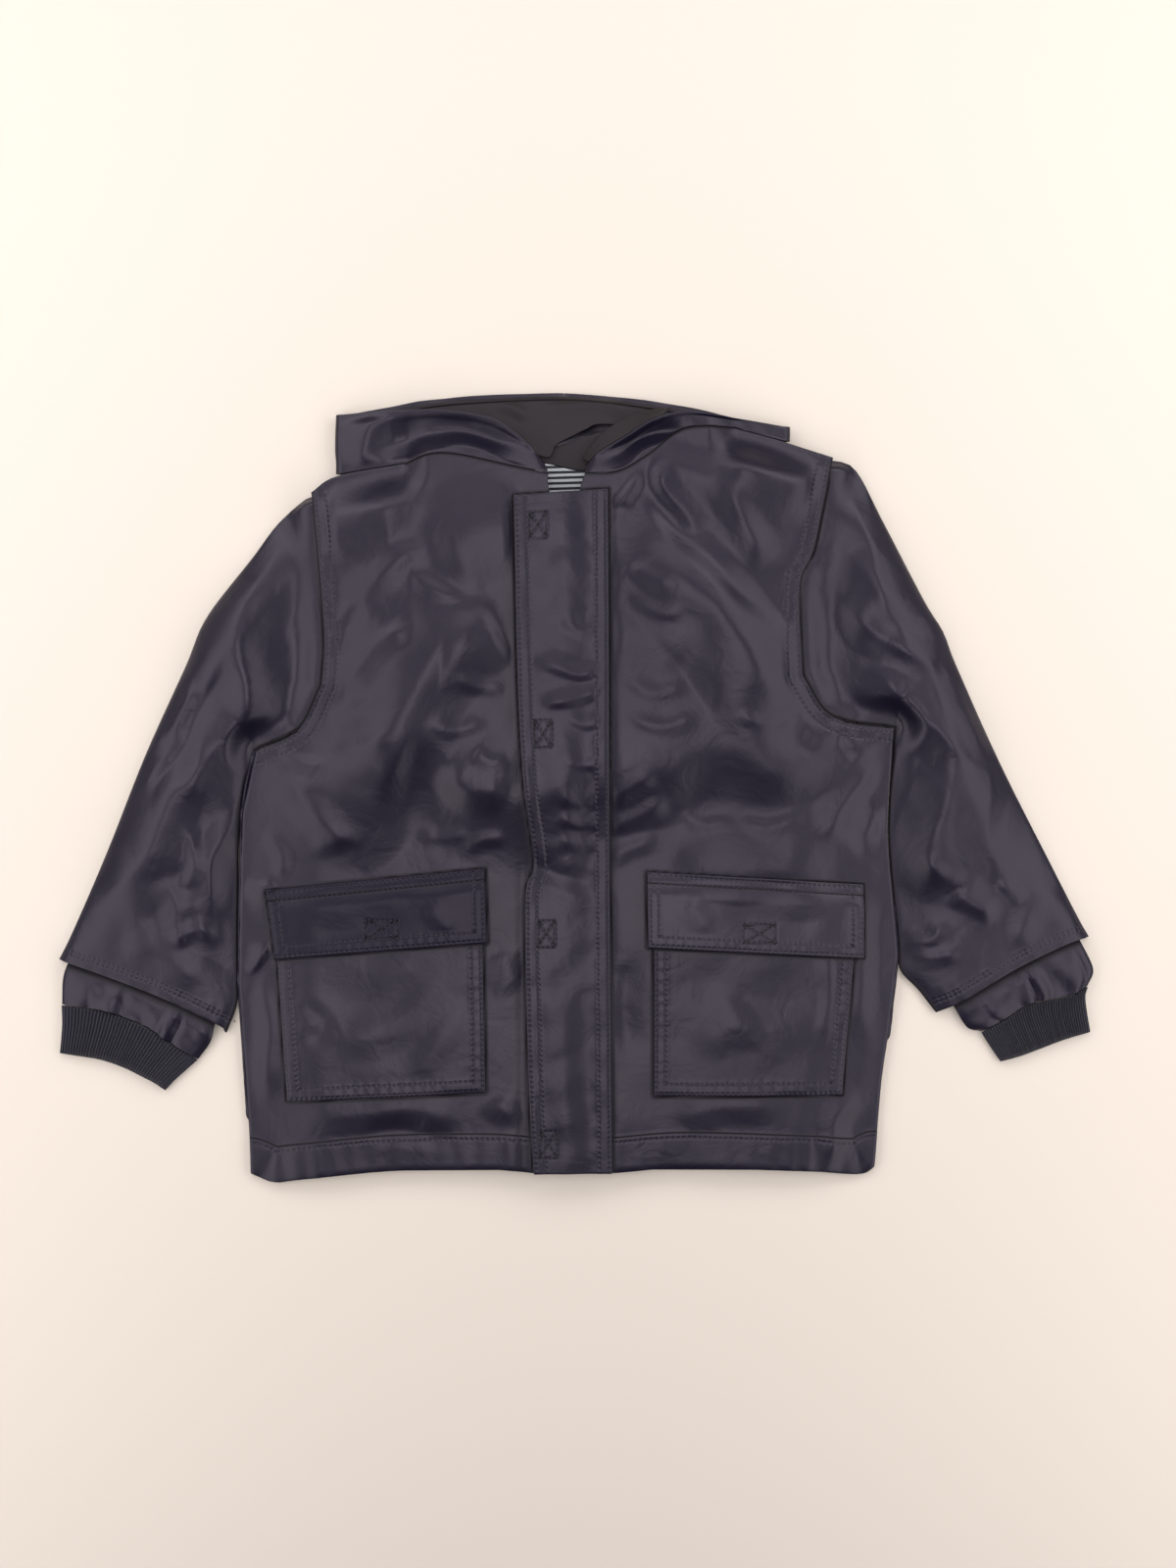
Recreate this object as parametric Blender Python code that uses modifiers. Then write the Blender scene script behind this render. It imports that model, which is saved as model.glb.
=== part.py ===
"""A child's hooded raincoat, laid on its back with the front up and the hood open upwards.

Frame: +X to the wearer's left, +Y to the hood, +Z up. The origin is on the table under the
middle of the coat. Tables and sizes are in millimetres, and the mesh is made in metres.
"Right" and "left" are the wearer's.
"""

import math

import bmesh
import bpy
import numpy as np

MM = 0.001

# ---------------------------------------------------------------- driving sizes
WALL = 1.4  # a panel of coated cloth as it lies
THIN = 1.0  # facings, lining and tape
GAP = 0.3  # between pieces that touch
SEAT = 0.45  # under a piece that lies on another piece's curved face

# The body's outline. Each table runs from the first place named to the second: x, y.
HEM_TO_ARMPIT = {
    "right": [(-192, -228), (-193, -201), (-199, -114), (-197, -15), (-189, 22)],
    "left": [(176.5, -224), (180.5, -174), (185.5, -139), (190, -97), (184, -27), (188, 35.5)],
}
ARMPIT_TO_UNDERARM = {
    "right": [(-189, 22), (-164, 34), (-149.5, 60)],
    "left": [(188, 35.5), (164, 38), (146.5, 45.5), (133.5, 66)],
}
UNDERARM_TO_SHOULDER = {
    "right": [(-149.5, 60), (-148, 89), (-152, 141), (-155, 173)],
    "left": [(133.5, 66), (132, 118), (140.5, 141), (151, 193.5)],
}
SHOULDER_TO_NECK = {
    "right": [(-155, 173), (-140, 182.5), (-99.5, 190)],
    "left": [(151, 193.5), (118, 204), (91.5, 211)],
}
NECK_TO_CENTRE = {
    "right": [(-99.5, 190), (-85.5, 194.5), (-69, 194.5), (-36.5, 187.5), (-16, 183.5)],
    "left": [(91.5, 211), (63, 209), (42.5, 194.5), (24.5, 184.5), (5.5, 183.5)],
}
HEM_TO_NECK_AT_CENTRE = {
    "right": [(-6, -227), (-6, 60), (-7.5, 141), (-15.5, 174), (-16, 183.5)],
    "left": [(-5, -227), (-5, 60), (-4.5, 141), (2.5, 174), (5.5, 183.5)],
}
HEM_LINE = {
    "right": [(-192, -228), (-178, -233), (-160, -231), (-109, -226), (-51, -225), (-24, -227), (-6, -227)],
    "left": [(176.5, -224), (170, -228), (158, -228), (135, -226), (65, -224), (22, -227), (-5, -227)],
}
BACK_NECKLINE = [(-99.5, 190), (-55, 198), (0, 206), (50, 209), (91.5, 211)]
BACK_HEM = [(-192, -228), (-150, -227), (0, -226), (150, -226), (176.5, -224)]

# How high the front's outer face lies: y, at the side seam or armhole, away from it.
FRONT_HEIGHT = [
    (-235, 3.6, 8.6),
    (-200, 3.6, 9.4),
    (-100, 3.6, 9.8),
    (10, 3.6, 10.4),
    (35, 6.0, 11.0),
    (60, 9.4, 11.8),
    (130, 9.8, 12.6),
    (170, 9.0, 13.4),
    (212, 9.0, 14.2),
]
SIDE_ROUND = 9.0  # how far in from the side seam the front is still rising
SHOULDER_ROUND = 16.0  # and how far below the shoulder's edge
NECK_BLEND = 18.0  # the shoulder's fall fades out over this length at the neck

# The largest folds: x and y of both ends, half the width, the height of the ridge or trough.
FRONT_FOLDS = {
    "right": [
        (-68, 118, -108, 16, 15, 2.6),
        (-84, 34, -62, -6, 16, -2.4),
        (-124, 92, -112, 60, 13, -2.2),
        (-182, 10, -160, -20, 13, 1.2),
    ],
    "left": [
        (54, 164, 122, 48, 14, 2.4),
        (78, 98, 106, 44, 15, -2.4),
        (158, -12, 176, -40, 10, 1.4),
        (40, 8, 104, -8, 13, -1.4),
    ],
}

# The hood's crown is folded away under the back, as one flat rounded layer.
CROWN_THICK = 5.0
CROWN_TOP_Y = 185.0
CROWN_HALF_WIDTH = 126.0
CROWN_DEPTH = 138.0
CROWN_ROUND = 0.16  # the share of its reach in which it thins to its rounded edge
BACK_OVER_CROWN = CROWN_THICK + 1.1
TENT_START = 1.14  # the back panel leaves the table at this share of the crown's reach
TENT_SLOPE = 0.2  # and is at its full height this much further in

# Mesh density: how many steps a stretch is divided into.
SHOULDER_STEPS = 7
NECK_STEPS = 6
SEAM_STEPS = 10
UNDERARM_STEPS = 3
ARMHOLE_STEPS = 8

SIDES = ("right", "left")
SIGN = {"right": -1.0, "left": 1.0}

SHELL = (0.026, 0.022, 0.030)
RIB = (0.008, 0.009, 0.018)
FACING = (0.045, 0.036, 0.034)
STRIPE = (0.42, 0.43, 0.45)
TAPE = (0.012, 0.011, 0.014)


# ---------------------------------------------------------------- curves and surfaces
def smooth(value):
    """0 to 1 with level ends: 3t^2 - 2t^3."""
    t = np.clip(value, 0.0, 1.0)
    return t * t * (3.0 - 2.0 * t)


def along(points, fractions):
    """Points at these fractions of the length of a Catmull-Rom curve through the given ones."""
    given = np.array(points, float)
    padded = np.vstack([2 * given[0] - given[1], given, 2 * given[-1] - given[-2]])
    step = np.linspace(0.0, 1.0, 24, endpoint=False)[:, None]
    fine = []
    for a, b, c, d in zip(padded, padded[1:], padded[2:], padded[3:]):
        fine.append(0.5 * (2 * b + (c - a) * step + (2 * a - 5 * b + 4 * c - d) * step**2
                           + (3 * b - 3 * c + d - a) * step**3))
    fine = np.vstack(fine + [given[-1:]])
    length = np.concatenate([[0.0], np.cumsum(np.linalg.norm(np.diff(fine, axis=0), axis=1))])
    places = np.asarray(fractions) * length[-1]
    return np.stack([np.interp(places, length, fine[:, axis]) for axis in range(fine.shape[1])], axis=1)


def even(steps):
    return np.linspace(0.0, 1.0, steps + 1)


def joined(first, second):
    """Two runs of points that share the point where they meet."""
    return np.vstack([first, second[1:]])


def between(first, second, steps):
    """A grid of points whose rows go evenly from one line of points to another."""
    down = even(steps)[:, None, None]
    return first[None] * (1 - down) + second[None] * down


def fractions_of(line):
    """How far along the line each of its points is, from 0 to 1."""
    length = np.concatenate([[0.0], np.cumsum(np.linalg.norm(np.diff(line, axis=0), axis=1))])
    return length / length[-1]


def patch(start, end, low, high):
    """A Coons patch: rows run from start to end, columns from low to high.

    start and end are the first and last column, low and high the first and last row.
    P(u, v) = (1-u) start + u end + (1-v) low + v high - the four corners' bilinear mix.
    """
    u = ((fractions_of(low) + fractions_of(high)) / 2)[None, :, None]
    v = ((fractions_of(start) + fractions_of(end)) / 2)[:, None, None]
    sides = (1 - u) * start[:, None] + u * end[:, None]
    ends = (1 - v) * low[None] + v * high[None]
    corners = ((1 - u) * (1 - v) * low[0] + u * (1 - v) * low[-1]
               + (1 - u) * v * high[0] + u * v * high[-1])
    return sides + ends - corners


def at_height(plan, height):
    """The plan's points, with this height."""
    return np.dstack([plan, np.broadcast_to(height, plan.shape[:2])])


def folds_at(table, x, y):
    """Soft ridges and troughs: each is height * exp(-(distance to its line / half width)^2)."""
    total = np.zeros_like(x)
    for x0, y0, x1, y1, half_width, height in table:
        run = np.array([x1 - x0, y1 - y0])
        t = np.clip(((x - x0) * run[0] + (y - y0) * run[1]) / (run @ run), 0.0, 1.0)
        away = np.hypot(x - x0 - t * run[0], y - y0 - t * run[1])
        total += height * np.exp(-((away / half_width) ** 2))
    return total


# ---------------------------------------------------------------- solids
def material(name, colour, roughness):
    made = bpy.data.materials.new(name)
    made.use_nodes = True
    shader = made.node_tree.nodes["Principled BSDF"]
    shader.inputs["Base Color"].default_value = (*colour, 1.0)
    shader.inputs["Roughness"].default_value = roughness
    shader.inputs["Metallic"].default_value = 0.0
    return made


def finish(name, work, colour, roughness):
    """Turns the bmesh into a named object in the raincoat's collection."""
    mesh = bpy.data.meshes.new(name)
    work.to_mesh(mesh)
    work.free()
    mesh.shade_smooth()
    mesh.materials.append(material(name, colour, roughness))
    made = bpy.data.objects.new(name, mesh)
    parts.objects.link(made)
    return made


def cloth(name, outer, inner, colour=SHELL, roughness=0.42):
    """A closed layer of cloth between two grids of points of the same size."""
    rows, columns = outer.shape[:2]
    work = bmesh.new()
    bmesh.ops.create_grid(work, x_segments=columns - 1, y_segments=rows - 1)
    place = work.verts.layers.int.new("place")
    for number, vert in enumerate(work.verts):
        vert[place] = number
    copied = bmesh.ops.extrude_face_region(work, geom=work.faces[:], use_keep_orig=True)["geom"]
    moved = {item for item in copied if isinstance(item, bmesh.types.BMVert)}
    for vert in work.verts:
        points = inner if vert in moved else outer
        vert.co = points.reshape(-1, 3)[vert[place]] * MM
    bmesh.ops.recalc_face_normals(work, faces=work.faces)
    finish(name, work, colour, roughness)


def tube(name, rings, wall, colour=SHELL, roughness=0.42):
    """An open tube through rings of points, with a Solidify wall on its inner side."""
    work = bmesh.new()
    loops = [[work.verts.new(point * MM) for point in ring] for ring in rings]
    around = len(loops[0])
    for low, high in zip(loops, loops[1:]):
        for k in range(around):
            after = (k + 1) % around
            work.faces.new((low[k], low[after], high[after], high[k]))
    work.normal_update()
    highest = max(work.faces, key=lambda face: face.calc_center_median().z)
    if highest.normal.z < 0:
        bmesh.ops.reverse_faces(work, faces=work.faces[:])
    skin = finish(name, work, colour, roughness).modifiers.new("wall", "SOLIDIFY")
    skin.thickness = wall * MM
    skin.offset = -1.0


def across(steps):
    """Places from -1 to 1 that crowd towards both ends."""
    return -np.cos(np.pi * even(steps))


def side_and_armhole(side, seam_steps):
    """The body's edge from the hem to the shoulder tip."""
    armhole = joined(
        along(ARMPIT_TO_UNDERARM[side], even(UNDERARM_STEPS)),
        along(UNDERARM_TO_SHOULDER[side], (across(ARMHOLE_STEPS) + 1) / 2),
    )
    return joined(along(HEM_TO_ARMPIT[side], even(seam_steps)), armhole)


def flattened_rings(plan, top, fold):
    """Rings of a tube that lies flat on the table.

    plan has a row for each ring and runs from one folded edge to the other. top is the height
    of the upper layer at each of its points. The lower layer rests on the table, and its last
    fold millimetres curl up to half of the tube's height at the edge:
    z = fold - sqrt(fold^2 - (fold - distance to the edge)^2).
    """
    from_first = np.linalg.norm(plan - plan[:, :1], axis=2)
    from_last = np.linalg.norm(plan - plan[:, -1:], axis=2)
    near = np.minimum(from_first, from_last)
    radius = np.broadcast_to(np.asarray(fold, float).reshape(-1, 1), near.shape)
    inside = np.clip(radius - near, 0.0, radius)
    low = radius - np.sqrt(radius**2 - inside**2)
    upper = np.dstack([plan, top])
    upper[:, 0, 2] = low[:, 0]
    upper[:, -1, 2] = low[:, -1]
    lower = np.dstack([plan, low])[:, -2:0:-1]
    return np.concatenate([upper, lower], axis=1)


def rounded(places, fold, height):
    """The upper layer's height across a flattened tube: fold + rise * sqrt(1 - |w|^3)."""
    return fold + (height - fold) * np.sqrt(np.clip(1.0 - np.abs(places) ** 3, 0.0, 1.0))


# ---------------------------------------------------------------- heights shared by pieces
def crown_reach(x, y):
    """1 on the folded crown's outline, less inside it: an ellipse below its top line."""
    drop = np.clip(CROWN_TOP_Y - y, 0.0, None) / CROWN_DEPTH
    return np.hypot(x / CROWN_HALF_WIDTH, drop)


def back_lift(x, y):
    """How far the back panel is lifted off the table by the hood's crown under it."""
    return BACK_OVER_CROWN * smooth((TENT_START - crown_reach(x, y)) / TENT_SLOPE)


def front_height(side, x, y):
    """The height of a front's outer face."""
    x, y = np.asarray(x, float), np.asarray(y, float)
    edge = np.array(HEM_TO_ARMPIT[side] + ARMPIT_TO_UNDERARM[side][1:] + UNDERARM_TO_SHOULDER[side][1:])
    shoulder = np.array(SHOULDER_TO_NECK[side])
    rows = np.array(FRONT_HEIGHT)
    low = np.interp(y, rows[:, 0], rows[:, 1])
    high = np.interp(y, rows[:, 0], rows[:, 2])
    from_side = np.abs(x - np.interp(y, edge[:, 1], edge[:, 0]))
    outward = np.abs(x)
    order = np.argsort(np.abs(shoulder[:, 0]))
    top = np.interp(outward, np.abs(shoulder[order, 0]), shoulder[order, 1])
    neck = np.abs(shoulder[-1, 0])
    in_neck = smooth((neck - outward) / NECK_BLEND + 0.2)
    from_shoulder = smooth((top - y) / SHOULDER_ROUND)
    rise = smooth(from_side / SIDE_ROUND) * (from_shoulder + (1 - from_shoulder) * in_neck)
    return low + (high - low) * rise + folds_at(FRONT_FOLDS[side], x, y) * rise


# ================================================================ the coat
for old in list(bpy.data.objects):
    bpy.data.objects.remove(old, do_unlink=True)
parts = bpy.data.collections.new("kids_raincoat")
bpy.context.scene.collection.children.link(parts)

# ---- Back: one panel from hem to neck, flat on the table below the folded hood.
back_top = joined(
    joined(along(SHOULDER_TO_NECK["right"], even(4)), along(BACK_NECKLINE, even(6))),
    along(SHOULDER_TO_NECK["left"], even(4))[::-1],
)
back_hem = along(BACK_HEM, fractions_of(back_top))
back_plan = patch(side_and_armhole("right", 7), side_and_armhole("left", 7), back_hem, back_top)
back_low = back_lift(back_plan[..., 0], back_plan[..., 1])
cloth("back_panel", at_height(back_plan, back_low + WALL), at_height(back_plan, back_low))

# ---- Fronts: they lie on the back, meet under the storm flap and part at the neck.
SHOULDER_CROWDING = 1.35  # columns crowd towards the side seam, where the front curves down
for side in SIDES:
    seam = side_and_armhole(side, SEAM_STEPS)
    top_edge = joined(
        along(SHOULDER_TO_NECK[side], even(SHOULDER_STEPS) ** SHOULDER_CROWDING),
        along(NECK_TO_CENTRE[side], even(NECK_STEPS)),
    )
    centre = along(HEM_TO_NECK_AT_CENTRE[side], fractions_of(seam))
    hem = along(HEM_LINE[side], fractions_of(top_edge) ** SHOULDER_CROWDING)
    plan = patch(seam, centre, hem, top_edge)
    height = front_height(side, plan[..., 0], plan[..., 1])
    cloth(f"front_{side}", at_height(plan, height), at_height(plan, height - WALL))

# ---- Storm flap: a doubled strip sewn to the left front, lying over the closure.
STORM_FREE_EDGE = [
    (-24.5, -227), (-27.5, -172), (-29.5, -68), (-24.5, -45), (-30, 0), (-33.5, 60), (-36, 170)
]
STORM_SEWN_EDGE = [(21.5, -227), (20, -33), (19.5, 90), (19, 174)]
STORM_LIFT = 1.5  # the free half rides on the tape pads
STORM_BEND_X = (-8.0, 10.0)  # it comes down to the sewn half between these
free_edge = along(STORM_FREE_EDGE, even(22))
sewn_edge = along(STORM_SEWN_EDGE, even(22))
bottom = along([free_edge[0], sewn_edge[0]], even(4))
top = along([free_edge[-1], sewn_edge[-1]], even(4))
plan = patch(free_edge, sewn_edge, bottom, top)
x, y = plan[..., 0], plan[..., 1]
low = np.maximum(front_height("right", x, y), front_height("left", x, y)) + SEAT
low = low + STORM_LIFT * smooth((STORM_BEND_X[1] - x) / (STORM_BEND_X[1] - STORM_BEND_X[0]))
cloth("storm_flap", at_height(plan, low + WALL), at_height(plan, low))


def pad(name, side, centre, size, base, thick):
    """A flat pad of touch tape that follows the front's face below it."""
    x, y = np.meshgrid(
        centre[0] + size[0] * (even(1) - 0.5), centre[1] + size[1] * (even(1) - 0.5)
    )
    low = front_height(side, x, y) + base
    cloth(name, np.dstack([x, y, low + thick]), np.dstack([x, y, low]), TAPE, 0.8)


# ---- Touch tape behind the storm flap's four boxed stitchings.
TAPE_SIZE = (10.0, 14.0)
CLOSURE_TAPE = [(-21.5, 153), (-19, 31), (-17.5, -86), (-16.5, -206)]
for number, spot in enumerate(CLOSURE_TAPE, start=1):
    pad(f"closure_tape_{number}", "right", spot, TAPE_SIZE, GAP, THIN)

# ---- Patch pockets and their flaps, each flap closed with one pad of touch tape.
# Corners in order: hem outer, hem inner, top outer, top inner.
POCKET = {
    "right": [(-170, -185), (-53, -179.5), (-178, -72), (-55, -66)],
    "left": [(157, -181), (46, -181.5), (166, -75), (46, -70)],
}
POCKET_FLAP = {
    "right": [(-177, -101), (-52, -91), (-182.5, -60.5), (-53.5, -47.5)],
    "left": [(169.5, -100.5), (42.5, -94), (169.5, -57), (42, -49.5)],
}
POCKET_TAPE = {"right": (-113.5, -84), "left": (108, -86)}
POCKET_TAPE_SIZE = (19.0, 11.0)
POCKET_WALL = 1.2
OVER_POCKET = SEAT + POCKET_WALL + GAP
FLAP_CLEAR = OVER_POCKET + THIN + GAP
FLAP_ROWS = np.array([0.0, 0.4, 0.7, 0.85, 1.0])  # from the flap's free edge up to its seam
FLAP_BEND = 0.3  # the share of the flap's depth in which it comes down to its seam


def quad(corners, rows, columns):
    """A grid of plan points between four corners."""
    low_outer, low_inner, top_outer, top_inner = [np.array(corner, float) for corner in corners]
    return patch(
        along([low_outer, top_outer], rows),
        along([low_inner, top_inner], rows),
        along([low_outer, low_inner], columns),
        along([top_outer, top_inner], columns),
    )


for side in SIDES:
    plan = quad(POCKET[side], even(7), even(8))
    low = front_height(side, plan[..., 0], plan[..., 1]) + SEAT
    cloth(f"pocket_{side}", at_height(plan, low + POCKET_WALL), at_height(plan, low))

    plan = quad(POCKET_FLAP[side], FLAP_ROWS, even(8))
    low = front_height(side, plan[..., 0], plan[..., 1]) + SEAT
    low = low + (FLAP_CLEAR - SEAT) * smooth((1.0 - FLAP_ROWS[:, None]) / FLAP_BEND)
    cloth(f"pocket_flap_{side}", at_height(plan, low + WALL), at_height(plan, low))
    pad(f"pocket_tape_{side}", side, POCKET_TAPE[side], POCKET_TAPE_SIZE, OVER_POCKET, THIN)

# ---- Sleeves: flattened tubes from the armhole to the cuff, lower layer on the table.
SLEEVE_OUTER = {
    "right": [(-155.5, 173.5), (-175.5, 156), (-191, 135.5), (-218, 100.5), (-230.5, 71.5), (-254, 19.5),
              (-277, -38.5), (-297, -85), (-305, -101.5)],
    "left": [(151.5, 193.8), (165.5, 187), (181, 158), (206, 110), (217, 92), (225, 71.5), (251, 13.5),
             (283, -50), (297, -77.5), (303, -88)],
}
SLEEVE_INNER = {
    "right": [(-189.7, 22.3), (-198.3, -15), (-199.8, -70), (-200, -114), (-200.5, -128), (-206.5, -144.5)],
    "left": [(188.7, 35.8), (184.9, -27), (190.6, -90), (192, -107), (203, -119.5), (213, -132.5)],
}
CUFF_HEM = {
    "right": [(-305, -101.5), (-277, -111), (-242, -124.5), (-211.5, -139.5), (-206.5, -144.5)],
    "left": [(303, -88), (287.5, -93), (258, -107.5), (228, -125.5), (213, -132.5)],
}
ARMHOLE_GAP = 0.7
OUTER_AT_ARMPIT = 0.4  # how far along the outer edge the sleeve is across from the armpit
SLEEVE_STEPS = 10  # from the armpit to the cuff
# Fraction of the length, height of the upper layer, radius of the folded edges.
SLEEVE_ROWS = np.array([
    (0.0, 11.0, 2.9),
    (0.15, 11.9, 2.9),
    (0.25, 12.5, 2.6),
    (0.6, 11.5, 2.6),
    (1.0, 9.4, 2.8),
])
SLEEVE_BLEND = 0.15  # the share of the length in which the sleeve leaves the body's height
# The largest folds, as on the fronts.
SLEEVE_FOLDS = {
    "right": [
        (-173, 122, -172, 66, 9, -3.0),
        (-190, 110, -196, 50, 11, 1.6),
        (-222, 40, -236, -40, 10, 1.8),
        (-236, 30, -262, -60, 9, -1.8),
        (-208, -30, -214, -88, 8, -1.6),
    ],
    "left": [
        (158, 128, 168, 92, 9, -2.8),
        (168, 92, 206, 82, 8, -2.4),
        (176, 120, 200, 104, 10, 1.6),
    ],
}
for side in SIDES:
    places = across(ARMHOLE_STEPS)
    clear = np.array([SIGN[side] * ARMHOLE_GAP, ARMHOLE_GAP])
    armhole = along(UNDERARM_TO_SHOULDER[side], (places + 1) / 2)[::-1] + clear
    underarm = along(ARMPIT_TO_UNDERARM[side], even(UNDERARM_STEPS))[::-1] + clear
    inner = joined(underarm, along(SLEEVE_INNER[side], even(SLEEVE_STEPS)))
    outer_places = np.concatenate([
        OUTER_AT_ARMPIT * even(UNDERARM_STEPS),
        OUTER_AT_ARMPIT + (1 - OUTER_AT_ARMPIT) * even(SLEEVE_STEPS)[1:],
    ])
    outer = along(SLEEVE_OUTER[side], outer_places)
    outer[0] = armhole[0]
    cuff = along(CUFF_HEM[side], (places + 1) / 2)
    plan = patch(outer, inner, armhole, cuff)
    crown = np.interp(outer_places, SLEEVE_ROWS[:, 0], SLEEVE_ROWS[:, 1])[:, None]
    fold = np.interp(outer_places, SLEEVE_ROWS[:, 0], SLEEVE_ROWS[:, 2])
    top = rounded(places[None, :], fold[:, None], crown)
    top += folds_at(SLEEVE_FOLDS[side], plan[..., 0], plan[..., 1]) * np.sqrt(1 - places[None, :] ** 2)
    body = front_height(side, plan[..., 0], plan[..., 1])
    at_body = 1.0 - smooth(outer_places / SLEEVE_BLEND)[:, None]
    top = top * (1 - at_body) + np.minimum(body, crown) * at_body
    tube(f"sleeve_{side}", flattened_rings(plan, top, fold), WALL)

# ---- Gathered inner cuffs, from inside the sleeve to the ribbed wristband.
STORM_OUTER = {
    "right": [(-293, -89), (-298, -100), (-302.5, -112), (-303.5, -128)],
    "left": [(293, -80), (297.5, -90), (305.5, -107), (302.5, -117)],
}
STORM_INNER = {
    "right": [(-210, -133), (-213, -140), (-215.5, -150), (-223, -160.5)],
    "left": [(218, -121), (223, -129), (231, -141.5), (239.5, -144)],
}
RIB_SEAM = {
    "right": [(-303.5, -128), (-277, -132), (-253.5, -141), (-242, -149), (-223, -160.5)],
    "left": [(302.5, -117), (291, -122.5), (268, -127.5), (254, -136), (239.5, -144)],
}
RIB_OUTER = {
    "right": [(-303.3, -129), (-303.3, -141), (-304.8, -157)],
    "left": [(302.3, -118), (301, -125), (304, -144.5)],
}
RIB_INNER = {
    "right": [(-224, -161), (-237, -173), (-242.5, -179)],
    "left": [(240, -145), (244.5, -152.5), (251, -162)],
}
RIB_HEM = {
    "right": [(-304.8, -157), (-277, -162), (-253, -172.5), (-242.5, -179)],
    "left": [(304, -144.5), (287.5, -149.5), (265, -158), (251, -162)],
}
CUFF_HEIGHT = 5.6
CUFF_FOLD = 2.6
CUFF_ACROSS = 8
RIB_WALL = 1.6
# The storm cuff starts inside the sleeve: fraction of its length, lift off the table, height.
STORM_ROWS = np.array([(0.0, WALL + 1.5 * GAP, 4.6), (0.5, WALL + GAP, 5.0), (1.0, 0.0, CUFF_HEIGHT)])
for side in SIDES:
    places = across(CUFF_ACROSS)
    lengthwise = even(4)
    outer, inner = along(STORM_OUTER[side], lengthwise), along(STORM_INNER[side], lengthwise)
    rib_seam = along(RIB_SEAM[side], (places + 1) / 2)
    inside = along([outer[0], inner[0]], (places + 1) / 2)
    outer[-1], inner[-1] = rib_seam[0], rib_seam[-1]
    plan = patch(outer, inner, inside, rib_seam)
    lift = np.interp(lengthwise, STORM_ROWS[:, 0], STORM_ROWS[:, 1])[:, None]
    tall = np.interp(lengthwise, STORM_ROWS[:, 0], STORM_ROWS[:, 2])[:, None]
    rings = flattened_rings(plan, rounded(places[None, :], CUFF_FOLD, tall), CUFF_FOLD)
    rings[..., 2] += lift
    tube(f"storm_cuff_{side}", rings, THIN)

    lengthwise = even(3)
    outer, inner = along(RIB_OUTER[side], lengthwise), along(RIB_INNER[side], lengthwise)
    start = rib_seam + (outer[0] + inner[0] - rib_seam[0] - rib_seam[-1]) / 2
    start[0], start[-1] = outer[0], inner[0]
    plan = patch(outer, inner, start, along(RIB_HEM[side], (places + 1) / 2))
    height = np.broadcast_to(rounded(places, CUFF_FOLD, CUFF_HEIGHT), plan.shape[:2])
    tube(f"rib_cuff_{side}", flattened_rings(plan, height, CUFF_FOLD), RIB_WALL, RIB, 0.85)

# ---- Hood: two halves sewn at the crown. Each comes off the neck seam as a flap, folds round at
# its outer corner, and lies on the table with its crown tucked away under the coat's back.
HOOD_SEAM_X = -7.0
HOOD_ROWS = 6
HOOD_COLUMNS = 7  # on the lower layer
FOLD_TURNS = (45.0, 0.0, -45.0)  # degrees round the corner's fold, upper layer to lower
CROWN_SWELL = (205.0, 185.0)  # the lower layer thickens between these, to CROWN_THICK
HOOD_MOUTH_FLAP = {  # x, y, height of the mouth's edge on the upper layer, centre to corner
    "right": [(-18.5, 190.5, 17), (-27, 200, 18), (-36, 208, 19), (-50.5, 216.5, 19.5), (-80, 221, 18),
              (-110, 221, 13), (-137.5, 219.5, 7)],
    "left": [(7.5, 190.5, 17), (15, 197, 18), (30, 206, 19), (45.5, 215.5, 19.5), (65, 220, 18),
             (95, 216.5, 13), (122.5, 212.5, 7)],
}
HOOD_CORNER_LOW = {"right": (-137.5, 184.5, 7), "left": (122.5, 203.8, 7)}
HOOD_MOUTH_TABLE = {  # x, y of the mouth's edge on the lower layer, corner to centre
    "right": [(-137.5, 219.8), (-85, 229), (-45, 232), (-7, 233)],
    "left": [(122.5, 212.5), (95, 218), (65, 225), (30, 230), (-7, 233)],
}
HOOD_DIP = 3.0  # the flap sags between its mouth and the neck seam
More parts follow.
